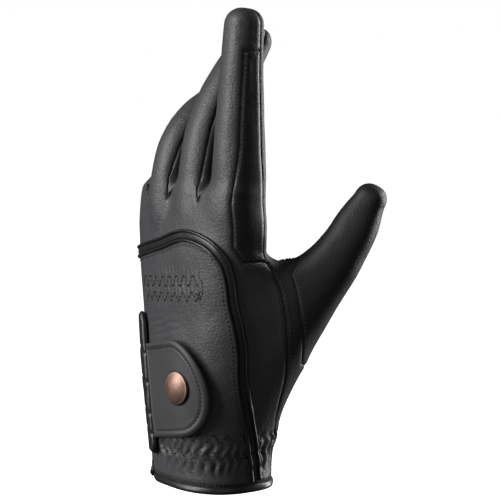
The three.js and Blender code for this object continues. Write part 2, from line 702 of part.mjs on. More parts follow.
// Normals of the whole skin, so that walls on both sides of a seam stay parallel
function skinNormals() {
  const normals = skin.points.map(() => new THREE.Vector3());
  for (const { corners } of skin.faces) {
    const [a, b, c] = corners.map((index) => skin.points[index].at);
    const normal = b.clone().sub(a).cross(c.clone().sub(a));
    for (const index of corners) normals[index].add(normal);
  }
  return normals.map((normal) => normal.normalize());
}

const normals = skinNormals();
const edgesOf = ({ corners: [a, b, c] }) => [`${a} ${b}`, `${b} ${c}`, `${c} ${a}`];
const allEdges = new Set(skin.faces.flatMap(edgesOf));

function solid(triangles) {
  const geometry = new THREE.BufferGeometry();
  const places = triangles.flat().flatMap((p) => p.toArray());
  geometry.setAttribute("position", new THREE.Float32BufferAttribute(places, 3));
  return geometry;
}

// Closed wall of a piece: its part of the skin and the same part moved inwards
function wallGeometry(piece, outset, inset) {
  const faces = skin.faces.filter((face) => face.piece === piece);
  const owners = new Map();
  faces.forEach(({ corners }, f) => {
    corners.forEach((a, i) => owners.set(`${a} ${corners[(i + 1) % 3]}`, [f, i]));
  });
  const roots = faces.flatMap((_, f) => [3 * f, 3 * f + 1, 3 * f + 2]);
  const find = (key) => (roots[key] === key ? key : (roots[key] = find(roots[key])));
  const rim = [];
  for (const [edge, [f, i]] of owners) {
    const [a, b] = edge.split(" ");
    const opposite = owners.get(`${b} ${a}`);
    if (opposite) {
      const [g, k] = opposite;
      roots[find(3 * f + i)] = find(3 * g + (k + 1) % 3);
      roots[find(3 * f + (i + 1) % 3)] = find(3 * g + k);
    } else {
      rim.push([f, i, allEdges.has(`${b} ${a}`)]);
    }
  }
  const pulls = new Map();
  for (const [f, i, sewn] of rim) {
    const [a, b] = [faces[f].corners[i], faces[f].corners[(i + 1) % 3]];
    const along = skin.points[b].at.clone().sub(skin.points[a].at).normalize();
    const inwards = normals[a].clone().add(normals[b]).cross(along).normalize();
    for (const key of [find(3 * f + i), find(3 * f + (i + 1) % 3)]) {
      pulls.set(key, [...(pulls.get(key) || []), { inwards, amount: sewn ? SEAM_GAP / 2 : 0 }]);
    }
  }
  const placed = (f, i, offset) => {
    const index = faces[f].corners[i];
    const at = skin.points[index].at.clone().addScaledVector(normals[index], offset);
    const pull = pulls.get(find(3 * f + i)) || [];
    const lean = pull.length === 2 ? Math.max(1 + pull[0].inwards.dot(pull[1].inwards), 0.5) : 1;
    for (const { inwards, amount } of pull) at.addScaledVector(inwards, amount / lean);
    return at;
  };
  const triangles = [];
  faces.forEach((_, f) => {
    triangles.push([0, 1, 2].map((i) => placed(f, i, outset)));
    triangles.push([2, 1, 0].map((i) => placed(f, i, -inset)));
  });
  for (const [f, i] of rim) {
    const next = (i + 1) % 3;
    const [outerA, outerB] = [placed(f, i, outset), placed(f, next, outset)];
    const [innerA, innerB] = [placed(f, i, -inset), placed(f, next, -inset)];
    if (faces[f].corners[i] < faces[f].corners[next]) {
      triangles.push([outerB, outerA, innerA], [outerB, innerA, innerB]);
    } else {
      triangles.push([outerB, outerA, innerB], [outerA, innerA, innerB]);
    }
  }
  return solid(triangles);
}

// Closed bar with one section along a path of frames
function barGeometry(frames, section) {
  const rings = frames.map(({ at, side, normal }) => section.map(([across, up]) =>
    at.clone().addScaledVector(side, across).addScaledVector(normal, up)));
  const triangles = [];
  for (let i = 0; i < rings.length - 1; i += 1) {
    for (let j = 0; j < section.length; j += 1) {
      const k = (j + 1) % section.length;
      const [a, b, c, d] = [rings[i][j], rings[i][k], rings[i + 1][k], rings[i + 1][j]];
      triangles.push([a, c, b], [a, d, c]);
    }
  }
  for (let j = 1; j < section.length - 1; j += 1) {
    triangles.push([rings[0][0], rings[0][j], rings[0][j + 1]]);
    const last = rings[rings.length - 1];
    triangles.push([last[0], last[j + 1], last[j]]);
  }
  return solid(triangles);
}

const glove = new THREE.Group();

function addMesh(name, geometry, look) {
  const mesh = new THREE.Mesh(geometry, new THREE.MeshStandardMaterial(COLOURS[look]));
  mesh.name = name;
  glove.add(mesh);
  return mesh;
}

for (const piece of ["back_panel", "wrist_back_panel", "palm_panel", "thumb"]) {
  addMesh(piece, wallGeometry(piece, 0, LEATHER), "leather");
}
for (const piece of ["index_side_panel", ...fourchettes]) {
  addMesh(piece, wallGeometry(piece, 0, LEATHER), "side");
}
addMesh("hem_binding", wallGeometry("hem_binding", HEM_ROLL, LEATHER + HEM_ROLL), "trim");

// Trim: a flat band with a piping along each edge, seated on the skin
function trimFrames() {
  const [start, end] = [0.012, 0.985];
  const places = Array.from({ length: TRIM_STEPS + 1 }, (_, i) =>
    trimCurve.getPointAt(THREE.MathUtils.lerp(start, end, i / TRIM_STEPS)));
  const points = places.map((place) => skinPoint(Math.max(0.05, place.x), place.y));
  return points.map((at, i) => {
    const [before, after] = [points[Math.max(0, i - 1)], points[Math.min(TRIM_STEPS, i + 1)]];
    const along = after.clone().sub(before).normalize();
    const normal = outward(at, handDistance);
    return { at, normal, side: along.cross(normal).normalize() };
  });
}

function roundSection(radius, across, up, sides) {
  return Array.from({ length: sides }, (_, i) => {
    const angle = 2 * Math.PI * (i + 0.5) / sides;
    return [across + radius * Math.cos(angle), up + radius * Math.sin(angle)];
  });
}

const frames = trimFrames();
const half = TRIM_WIDTH / 2;
addMesh("trim_band", barGeometry(frames,
  [[-half, TRIM_SEAT], [half, TRIM_SEAT], [half, TRIM_SEAT + TRIM_THICKNESS], [-half, TRIM_SEAT + TRIM_THICKNESS]]),
"trim");
const pipingAcross = half + SEAM_GAP + PIPING_DIAMETER / 2;
for (const [name, side] of [["trim_piping_outer", -1], ["trim_piping_inner", 1]]) {
  addMesh(name, barGeometry(frames,
    roundSection(PIPING_DIAMETER / 2, side * pipingAcross, TRIM_SEAT + PIPING_DIAMETER / 2, PIPING_SIDES)), "trim");
}

// Cuff point at a distance round the section from the middle of the back
function cuffPoint(distance, z) {
  const s = palmSection(z);
  const place = (angle) => {
    const [sine, cosine] = [Math.sin(angle), Math.cos(angle)];
    const x = s.halfBreadth * Math.sign(sine) * Math.abs(sine) ** (2 / PALM_ROUNDNESS);
    return [x, -s.halfDepth * Math.sign(cosine) * Math.abs(cosine) ** (2 / PALM_ROUNDNESS)];
  };
  const STEPS = 120;
  let [x, y] = place(0);
  let travelled = 0;
  for (let i = 1; i <= STEPS && travelled < Math.abs(distance); i += 1) {
    const [nextX, nextY] = place(Math.sign(distance) * Math.PI * 0.75 * i / STEPS);
    const step = Math.hypot(nextX - x, nextY - y);
    const t = Math.min(1, (Math.abs(distance) - travelled) / step);
    x += (nextX - x) * t;
    y += (nextY - y) * t;
    travelled += step;
  }
  const at = shoot(new THREE.Vector3(0, s.middle, z), new THREE.Vector3(x, y, 0).normalize(), handDistance);
  return { at, normal: outward(at, handDistance) };
}

// Strap place at a distance along it and across it, lifted off the cuff
const strapTilt = THREE.MathUtils.degToRad(STRAP_TILT);

function strapLift(along) {
  return SEAT_GAP + STRAP_LIFT * smooth(along / STRAP_LENGTH, 0.1, 0.75);
}

function strapPoint(along, across, lift) {
  const distance = STRAP_ROOT + along * Math.cos(strapTilt) - across * Math.sin(strapTilt);
  const z = STRAP_HEIGHT + along * Math.sin(strapTilt) + across * Math.cos(strapTilt);
  const { at, normal } = cuffPoint(distance, z);
  return { at: at.clone().addScaledVector(normal, strapLift(along) + lift), normal };
}

// Closed plate from a grid of places with an under and an upper side
function plateGeometry(rows, columns, placeAt) {
  const grid = (side) => Array.from({ length: rows + 1 }, (_, i) =>
    Array.from({ length: columns + 1 }, (_, j) => placeAt(i / rows, j / columns, side)));
  const [under, upper] = [grid(0), grid(1)];
  const triangles = [];
  const quad = (a, b, c, d) => triangles.push([a, b, c], [a, c, d]);
  for (let i = 0; i < rows; i += 1) {
    for (let j = 0; j < columns; j += 1) {
      quad(upper[i][j], upper[i + 1][j], upper[i + 1][j + 1], upper[i][j + 1]);
      quad(under[i][j], under[i][j + 1], under[i + 1][j + 1], under[i + 1][j]);
    }
    quad(under[i][0], under[i + 1][0], upper[i + 1][0], upper[i][0]);
    quad(under[i + 1][columns], under[i][columns], upper[i][columns], upper[i + 1][columns]);
  }
  for (let j = 0; j < columns; j += 1) {
    quad(under[0][j + 1], under[0][j], upper[0][j], upper[0][j + 1]);
    quad(under[rows][j], under[rows][j + 1], upper[rows][j + 1], upper[rows][j]);
  }
  return solid(triangles);
}

function strapPlace(u, v, side) {
  const straight = STRAP_LENGTH - STRAP_NOSE;
  const share = straight / STRAP_LENGTH;
  const across = 2 * v - 1;
  const nose = Math.max(0, (u - share) / (1 - share));
  const along = u < share ? u * STRAP_LENGTH : straight + STRAP_NOSE * nose * Math.sqrt(1 - across ** 2 / 2);
  const width = across * Math.sqrt(1 - nose ** 2 / 2) * STRAP_WIDTH / 2;
  return strapPoint(along, width, side * STRAP_THICKNESS).at;
}

addMesh("strap_tab", plateGeometry(...STRAP_STEPS, strapPlace), "leather");

// Facing strip over the strap's root on the little-finger side of the vent
function facingPlace(u, v, side) {
  const fromEnd = Math.min(u, 1 - u) * FACING_LENGTH;
  const end = Math.sin(Math.PI * Math.min(0.5, fromEnd / FACING_WIDTH * 0.5 + 0.12));
  const across = (v - 0.5) * FACING_WIDTH * end;
  const z = FACING_BASE + (1 - u) * FACING_LENGTH;
  const rootShift = -(z - STRAP_HEIGHT) * Math.tan(strapTilt);
  const middle = STRAP_ROOT - SEAM_GAP - FACING_WIDTH / 2 + rootShift;
  const { at, normal } = cuffPoint(middle + across, z);
  return at.addScaledVector(normal, SEAT_GAP + side * FACING_THICKNESS);
}

addMesh("vent_facing", plateGeometry(...FACING_STEPS, facingPlace), "trim");

// Snap fastener: a domed cap on the strap and a stud between strap and cuff
function addLathe(name, profile, at, normal, look) {
  const corners = profile.map(([r, h]) => new THREE.Vector2(r, h));
  const mesh = addMesh(name, new THREE.LatheGeometry(corners, SNAP_SIDES), look);
  mesh.position.copy(at);
  mesh.quaternion.setFromUnitVectors(new THREE.Vector3(0, 1, 0), normal);
}

const snapRadius = SNAP_DIAMETER / 2;
const capSeat = strapPoint(SNAP_PLACE, 0, STRAP_THICKNESS + SEAM_GAP);
addLathe("snap_cap", [[0, 0], [snapRadius - SNAP_RIM / 2, 0], [snapRadius, SNAP_RIM / 2],
  [snapRadius - SNAP_RIM / 2, SNAP_RIM], [snapRadius * 0.75, SNAP_HEIGHT * 0.72], [snapRadius * 0.45, SNAP_HEIGHT * 0.93], [0, SNAP_HEIGHT]],
capSeat.at, capSeat.normal, "brass");

const studHeight = strapLift(SNAP_PLACE) - SEAT_GAP - STUD_GAP;
const studSeat = strapPoint(SNAP_PLACE, 0, -STUD_GAP - studHeight);
addLathe("snap_stud", [[0, 0], [STUD_DIAMETER / 2, 0], [STUD_DIAMETER / 2, studHeight], [0, studHeight]],
  studSeat.at, studSeat.normal, "brass");

export default glove;
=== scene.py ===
"""A left-hand riding glove in thin dark leather, in the shape of the worn hand."""
import logging
import math
from collections.abc import Sequence
from dataclasses import dataclass, field
from enum import Enum
from functools import cache

import bmesh
import bpy
import numpy as np
from mathutils import Matrix, Vector
from mathutils.bvhtree import BVHTree
from mathutils.kdtree import KDTree


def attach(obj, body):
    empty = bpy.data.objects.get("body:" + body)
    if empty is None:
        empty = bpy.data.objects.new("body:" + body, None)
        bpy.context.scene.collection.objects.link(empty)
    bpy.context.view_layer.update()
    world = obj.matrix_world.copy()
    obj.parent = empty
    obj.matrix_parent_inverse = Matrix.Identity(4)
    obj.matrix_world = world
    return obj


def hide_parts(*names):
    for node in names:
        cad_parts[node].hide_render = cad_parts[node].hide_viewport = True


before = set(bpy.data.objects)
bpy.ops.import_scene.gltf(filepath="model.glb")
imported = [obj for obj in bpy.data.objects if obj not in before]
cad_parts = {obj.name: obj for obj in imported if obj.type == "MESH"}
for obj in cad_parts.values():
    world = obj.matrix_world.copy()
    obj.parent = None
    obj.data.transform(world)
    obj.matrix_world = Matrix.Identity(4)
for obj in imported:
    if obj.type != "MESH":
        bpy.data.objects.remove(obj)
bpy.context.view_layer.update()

log = logging.getLogger("glove")
MM = 0.001
Array = np.ndarray
FAR = 99.0  # a distance past every blend, in millimetres
PROBE = 0.3  # how far from a point the form's slope is measured, in millimetres


# The form of the hand

@dataclass(frozen=True)
class Digit:
    """One finger or the thumb: root place, sizes in millimetres and its table of shares."""

    name: str
    length: float
    breadth: float
    depth: float
    rise: float
    drop: float
    rows: tuple
    lean: float = 0.0
    side: float = 0.0
    turn: float = 0.0


# Rows along a digit: share of its length, bend in degrees, shares of its breadth and of its depth.
LITTLE_ROWS = ((0, -4, .4, .4), (.21, -6, .8, .75), (.38, -4, .98, .97), (.52, 2, 1, 1),
               (.66, 22, .98, 1), (.82, 42, .93, .93), (1, 47, .86, .82))
RING_ROWS = ((0, 0, .4, .4), (.14, -1, .8, .7), (.27, -1, .96, .93), (.39, 1, 1, 1),
             (.56, 14, .98, .98), (.71, 38, .94, .94), (.87, 57, .88, .86), (1, 64, .81, .78))
MIDDLE_ROWS = ((0, 2, .36, .36), (.14, 2, .8, .7), (.25, 3, .98, .93), (.38, 4, 1, 1),
               (.53, 10, 1, 1), (.71, 25, .95, .92), (.88, 36, .87, .81), (1, 33, .79, .72))
INDEX_ROWS = ((0, 8, .36, .36), (.12, 6, .84, .82), (.25, 2, 1, 1.02), (.39, 0, .99, 1),
              (.54, 0, .94, .95), (.73, 1, .86, .84), (.88, 2, .79, .77), (1, 3, .76, .71))
THUMB_ROWS = ((0, 36, .44, .44), (.14, 34, .68, .68), (.32, 35, .9, .9), (.56, 37, .86, .86),
              (.77, 33, .75, .74), (.9, 28, .66, .64), (1, 28, .5, .48))
# Rows up the palm: share of its length, how far breadth, depth and arch are from wrist to knuckles, turn
# in degrees, and where the corner and the thumb-side seam lie in the section.
PALM_ROWS = ((-.19, .03, -.04, 0, 0, .86, .7), (0, .02, -.02, 0, 0, .86, .7),
             (.17, -.04, -.02, 0, 0, .86, .62), (.38, .29, .03, .13, 0, .87, .4),
             (.57, .68, .29, .33, 0, .89, .38), (.74, .95, .6, .67, -1, .93, .46),
             (.87, .98, .95, 1, -1, .95, .6), (.94, .95, 1.13, 1.08, -1, .93, .66),
             (1, .87, 1.38, 1.15, -1, .9, .7))


def ramp(x: Array, low: float, high: float) -> Array:
    """Smooth step from 0 at low to 1 at high."""
    t = np.clip((np.asarray(x, float) - low) / (high - low), 0, 1)
    return t * t * (3 - 2 * t)


def blended(a: Array, b: Array, radius: Array | float) -> Array:
    """Smooth minimum of two distances, rounded within a radius."""
    h = np.maximum(radius - np.abs(a - b), 0) / radius
    return np.minimum(a, b) - h * h * radius * 0.25


def curve_between(rows: Array, index: Array, t: Array) -> Array:
    """Smooth curve through rows of numbers.

    Args:
        rows: the rows, one longer at each end.
        index: the row before each place.
        t: share of the way to the next row.

    Returns:
        One row for each place.
    """
    a, b, c, d = rows[index], rows[index + 1], rows[index + 2], rows[index + 3]
    return 0.5 * (2 * b + (c - a) * t + (2 * a - 5 * b + 4 * c - d) * t ** 2
                  + (3 * b - a - 3 * c + d) * t ** 3)


def lengthened(rows: Sequence) -> Array:
    """The rows with one more at each end, in line with the last two."""
    table = np.array(rows, float)
    return np.vstack([2 * table[0] - table[1], table, 2 * table[-1] - table[-2]])


def unit(vectors: Array) -> Array:
    """The vectors at length 1."""
    return vectors / np.maximum(np.linalg.norm(vectors, axis=-1, keepdims=True), 1e-9)


@dataclass
class HandForm:
    """The outer skin of the glove as a distance, in millimetres: below zero inside."""

    palm_length: float = 132.0
    wrist_breadth: float = 61.6
    wrist_depth: float = 45.0
    knuckle_depth: float = 28.0
    knuckle_drop: float = 7.5
    finger_gap: float = 0.8
    palm_roundness: float = 2.5
    digit_roundness: float = 2.3
    finger_blend: float = 5.0
    blend_from: float = 0.82
    finger_reach: float = 8.0
    thumb_web: float = 30.0
    thumb_reach: float = 34.0
    crease: float = 0.6
    crotch_share: float = 0.985
    spread_from: float = 0.3
    row_steps: int = 4
    back_corners: tuple = (2, 18)
    finger_columns: int = 4
    cuff_turn: float = math.pi * 0.75
    cuff_steps: int = 121
    fingers: tuple = (
        Digit("little", 69, 17.8, 18, .655, -1.6, LITTLE_ROWS, -.9),
        Digit("ring", 97, 19.4, 21, .7, -12, RING_ROWS, 2),
        Digit("middle", 115, 21, 22, .69, -11, MIDDLE_ROWS, .5),
        Digit("index", 115, 22.2, 23.4, .69, -8.7, INDEX_ROWS, 2),
    )
    thumb: Digit = Digit("thumb", 118.5, 30, 30, .247, 2.9, THUMB_ROWS, 0, 10, 36.7 - 90)
    lines: dict = field(default_factory=dict)

    def __post_init__(self) -> None:
        """Works out the finger places and the centre lines."""
        self.knuckle_breadth = sum(f.breadth for f in self.fingers) + 3 * self.finger_gap
        self.boundaries = []
        reach = -self.knuckle_breadth / 2
        for finger in self.fingers:
            self.boundaries.append(reach - self.finger_gap / 2)
            self.lines[finger.name] = self._line(finger, reach + finger.breadth / 2)
            reach += finger.breadth + self.finger_gap
        self.lines["thumb"] = self._line(self.thumb, self.thumb.side)
        self.palm_table = lengthened(PALM_ROWS)
        self.palm_shares = np.array([row[0] for row in PALM_ROWS])

    def _line(self, digit: Digit, side: float) -> tuple:
        """Centre line of a digit.

        Args:
            digit: the digit.
            side: the root's place across the hand.

        Returns:
            Points, directions, sideways directions and half sizes.
        """
        table = lengthened(digit.rows)
        steps = [(i, s / self.row_steps) for i in range(len(digit.rows) - 1) for s in range(self.row_steps)]
        rows = np.array([curve_between(table, i, t) for i, t in steps] + [table[-2]])
        turn = math.radians(digit.turn)
        lean = math.tan(math.radians(digit.lean))
        flex = np.radians(rows[:, 1])
        along = unit(np.stack([np.full(len(rows), lean), np.sin(flex), np.cos(flex)], 1))
        c, q = math.cos(turn), math.sin(turn)
        along = np.stack([along[:, 0] * c - along[:, 1] * q, along[:, 0] * q + along[:, 1] * c,
                          along[:, 2]], 1)
        across = np.array([c, q, 0.0])
        sideways = unit(across - (along @ across)[:, None] * along)
        step = unit(along[1:] + along[:-1]) * (np.diff(rows[:, 0]) * digit.length)[:, None]
        root = np.array([side, digit.drop, digit.rise * self.palm_length])
        points = np.vstack([root, root + np.cumsum(step, axis=0)])
        return points, along, sideways, rows[:, 2] * digit.breadth / 2, rows[:, 3] * digit.depth / 2

    @staticmethod
    def _rounded(offset: tuple, half: tuple, n: float) -> Array:
        """Distance from a rounded section, to first order.

        Args:
            offset: the points' offsets along the section's three axes.
            half: its half sizes along them.
            n: how square its corners are, 2 for an ellipse.

        Returns:
            The distance of each point.
        """
        a, b, c = (np.abs(o) / h for o, h in zip(offset, half))
        k = (a ** n + b ** n + c ** n) ** (1 / n) + 1e-9
        slope = k ** (1 - n) * np.sqrt((a ** (n - 1) / half[0]) ** 2 + (b ** (n - 1) / half[1]) ** 2
                                       + (c ** (n - 1) / half[2]) ** 2)
        return (k - 1) / np.maximum(slope, 1 / np.maximum(half[0], half[1]))

    def nearest(self, name: str, p: Array) -> Array:
        """Station number of the nearest place on a digit's centre line.

        Args:
            name: the digit.
            p: points.

        Returns:
            One number for each point, with the share of the way to the next station.
        """
        points = self.lines[name][0]
        best = np.full(len(p), 1e18)
        number = np.zeros(len(p))
        for i in range(len(points) - 1):
            leg = points[i + 1] - points[i]
            t = np.clip((p - points[i]) @ leg / (leg @ leg), 0, 1)
            gap = ((p - points[i] - t[:, None] * leg) ** 2).sum(1)
            closer = gap < best
            best[closer] = gap[closer]
            number[closer] = i + t[closer]
        return number

    def digit_distance(self, name: str, p: Array, reach: float) -> Array:
        """Distance from one digit.

        Args:
            name: the digit.
            p: points.
            reach: how far from the digit the distance still matters.

        Returns:
            The distance of each point, or a large number beyond reach.
        """
        points, along, sideways, half_x, half_y = self.lines[name]
        margin = reach + max(half_x.max(), half_y.max())
        near = np.all((p > points.min(0) - margin) & (p < points.max(0) + margin), axis=1)
        out = np.full(len(p), FAR)
        if not near.any():
            return out
        q = p[near]
        number = self.nearest(name, q)
        i = np.minimum(number.astype(int), len(points) - 2)
        t = (number - i)[:, None]
        at = points[i] * (1 - t) + points[i + 1] * t
        a = unit(along[i] * (1 - t) + along[i + 1] * t)
        u = sideways[i] * (1 - t) + sideways[i + 1] * t
        u = unit(u - (u * a).sum(1)[:, None] * a)
        v = np.cross(a, u)
        t = t[:, 0]
        half = (half_x[i] * (1 - t) + half_x[i + 1] * t, half_y[i] * (1 - t) + half_y[i + 1] * t)
        d = q - at
        ends = (number <= 0) | (number >= len(points) - 1)
        z = np.where(ends, (d * a).sum(1), 0)
        out[near] = self._rounded(((d * u).sum(1), (d * v).sum(1), z),
                                  (half[0], half[1], np.minimum(*half)), self.digit_roundness)
        return out

    def palm_section(self, z: Array) -> tuple:
        """The palm's section at heights above the cuff's edge.

        Args:
            z: the heights.

        Returns:
            Height in range, half breadth, half depth, middle, turn, corner share and seam share.
        """
        shares = self.palm_shares
        z = np.clip(z, shares[0] * self.palm_length, shares[-1] * self.palm_length)
        share = z / self.palm_length
        i = np.clip(np.searchsorted(shares, share, side="right") - 1, 0, len(shares) - 2)
        t = (share - shares[i]) / (shares[i + 1] - shares[i])
        row = curve_between(self.palm_table, i, np.asarray(t)[..., None])
        breadth = self.wrist_breadth + (self.knuckle_breadth - self.wrist_breadth) * row[..., 1]
        depth = self.wrist_depth + (self.knuckle_depth - self.wrist_depth) * row[..., 2]
        return (z, breadth / 2, depth / 2, -self.knuckle_drop * row[..., 3], np.radians(row[..., 4]),
                row[..., 5], row[..., 6])

    def palm_distance(self, p: Array) -> Array:
        """Distance from the palm and cuff.

        Args:
            p: points.

        Returns:
            The distance of each point.
        """
        z, half_x, half_y, middle, turn, _, _ = self.palm_section(p[:, 2])
        x, y = p[:, 0], p[:, 1] - middle
        c, q = np.cos(turn), np.sin(turn)
        return self._rounded((x * c + y * q, y * c - x * q, p[:, 2] - z), (half_x, half_y, half_y / 2),
                             self.palm_roundness)

    def distance(self, p: Array) -> Array:
        """Distance of each point from the skin.

        Args:
            p: points.

        Returns:
            The distances, below zero inside the hand.
        """
        palm = self.palm_distance(p)
        radius = self.crease + self.finger_blend * ramp(p[:, 2] / self.palm_length, self.blend_from, 1)
        total = None
        for finger in self.fingers:
            one = blended(self.digit_distance(finger.name, p, self.finger_reach), palm, radius)
            total = one if total is None else blended(one, total, self.crease)
        return blended(self.digit_distance("thumb", p, self.thumb_reach), total, self.thumb_web)

    def outward(self, p: Array, h: float = PROBE) -> Array:
        """Unit direction out of the skin at each point."""
        corners = np.array([[1, -1, -1], [-1, -1, 1], [-1, 1, -1], [1, 1, 1]], float)
        return unit(sum(self.distance(p + h * k)[:, None] * k for k in corners))

    def settled(self, p: Array, seat: Array, most: float = 1.2) -> Array:
        """Points moved along the slope until they lie at their own distance from the skin."""
        n = self.outward(p)
        return p - np.clip(self.distance(p) - seat, -most, most)[:, None] * n

    def shot(self, start: Array, direction: Array, steps: int = 70, halvings: int = 13) -> Array:
        """First points on the skin from inner points along directions.

        Args:
            start: the inner points.
            direction: unit directions.
            steps: most steps outwards before the skin is passed.
            halvings: rounds that narrow the place down.

        Returns:
            One point on the skin for each inner point.
        """
        travelled = np.zeros(len(start))
        last = np.zeros(len(start))
        for _ in range(steps):
            value = self.distance(start + direction * travelled[:, None])
            inside = value < 0
            if not inside.any():
                break
            last = np.where(inside, travelled, last)
            travelled = np.where(inside, travelled + np.maximum(-value * 0.7, 0.5), travelled)
        low, high = last, travelled
        for _ in range(halvings):
            middle = (low + high) / 2
            inside = self.distance(start + direction * middle[:, None]) < 0
            low, high = np.where(inside, middle, low), np.where(inside, high, middle)
        return start + direction * ((low + high) / 2)[:, None]

    def back_points(self, columns: Array, heights: Array) -> Array:
        """Skin points on the back by column and height.

        Args:
            columns: 0 at the little-finger side to 22 at the thumb side, 4 to a finger on the back.
            heights: heights above the cuff's edge.

        Returns:
            One point for each pair.
        """
        columns, heights = np.asarray(columns, float), np.asarray(heights, float)
        z, half_x, half_y, middle, _, corner, seam = self.palm_section(heights)
        n = self.palm_roundness
        low, high = self.back_corners
        count = len(self.fingers)

        def other(share: Array) -> Array:
            """Share along the section's second axis for a share along its first."""
            return np.maximum(0, 1 - np.abs(share) ** n) ** (1 / n)

        corner_y = other(corner)
        spread = ramp(heights / self.palm_length, self.spread_from, self.crotch_share)
        stops = []
        for i in range(count + 1):
            even = -corner + i / count * 2 * corner
            outer = i in (0, count)
            free = 0 if outer else spread
            spot = even if outer else self.boundaries[i] / half_x
            stops.append(even * (1 - free) + spot * free)
        stops = np.array(stops)
        at = np.clip(((columns - low) / self.finger_columns).astype(int), 0, count - 1)
        t = (columns - low) / self.finger_columns - at
        every = np.arange(len(columns))
        x_back = stops[at, every] * (1 - t) + stops[at + 1, every] * t
        y_little = -corner_y * columns / low
        side = (columns - high) / self.finger_columns
        y_thumb = -corner_y * (1 - side) + seam * side
        x = np.where(columns < low, -other(y_little), np.where(columns <= high, x_back, other(y_thumb)))
        y = np.where(columns < low, y_little, np.where(columns <= high, -other(x_back), y_thumb))
        start = np.stack([np.zeros_like(z), middle, heights], 1)
        return self.shot(start, unit(np.stack([x * half_x, y * half_y, np.zeros_like(z)], 1)))

    def back_by_x(self, xs: Array, heights: Array) -> Array:
        """Skin points on the back of the hand straight behind places across it.

        Args:
            xs: places across the hand.
            heights: heights above the cuff's edge.

        Returns:
            One point for each pair.
        """
        xs, heights = np.asarray(xs, float), np.asarray(heights, float)
        middle = self.palm_section(heights)[3]
        start = np.stack([xs, middle, heights], 1)
        return self.shot(start, np.tile([0.0, -1.0, 0.0], (len(xs), 1)))

    def cuff_points(self, distances: Array, heights: Array) -> Array:
        """Skin points round the cuff by distance from the middle of the back, towards the thumb.

        Args:
            distances: distances round the cuff.
            heights: heights above the cuff's edge.

        Returns:
            One point for each pair.
        """
        distances, heights = np.asarray(distances, float), np.asarray(heights, float)
        _, half_x, half_y, middle, _, _, _ = self.palm_section(heights)
        angles = np.linspace(0, self.cuff_turn, self.cuff_steps)
        power = 2 / self.palm_roundness
        sx = np.sign(np.sin(angles)) * np.abs(np.sin(angles)) ** power
        sy = -np.sign(np.cos(angles)) * np.abs(np.cos(angles)) ** power
        directions = np.zeros((len(distances), 3))
        for i, (distance, hx, hy) in enumerate(zip(distances, half_x, half_y)):
            x, y = sx * hx, sy * hy
            reach = np.concatenate([[0], np.cumsum(np.hypot(np.diff(x), np.diff(y)))])
            directions[i, 0] = math.copysign(1, distance) * np.interp(abs(distance), reach, x)
            directions[i, 1] = np.interp(abs(distance), reach, y)
        start = np.stack([np.zeros_like(heights), middle, heights], 1)
        return self.shot(start, unit(directions))


FORM = HandForm()


# Finishes

def linear(colour: str) -> tuple[float, float, float, float]:
    """An sRGB hex colour as linear red, green, blue and 1."""
    shares = [int(colour[i:i + 2], 16) / 255 for i in (1, 3, 5)]
    return (*[s / 12.92 if s <= 0.04045 else ((s + 0.055) / 1.055) ** 2.4 for s in shares], 1.0)


def add_node(tree: bpy.types.NodeTree, kind: str, settings: dict | None = None,
             links: dict | None = None) -> bpy.types.Node:
    """Adds a node with its settings and links.

    Args:
        tree: the node tree.
        kind: the node's type.
        settings: values by attribute or input name.
        links: output sockets by input name.

    Returns:
        The new node.
    """
    node = tree.nodes.new(kind)
    for name, value in (settings or {}).items():
        if isinstance(name, str) and hasattr(node, name):
            setattr(node, name, value)
        else:
            node.inputs[name].default_value = value
    for name, socket in (links or {}).items():
        tree.links.new(socket, node.inputs[name])
    return node


def blank_material(name: str) -> tuple[bpy.types.Material, bpy.types.NodeTree]:
    """A new material with an empty node tree.

    Args:
        name: the material's name.

    Returns:
        The material and its node tree.
    """
    material = bpy.data.materials.new(name)
    material.use_nodes = True
    material.node_tree.nodes.clear()
    return material, material.node_tree


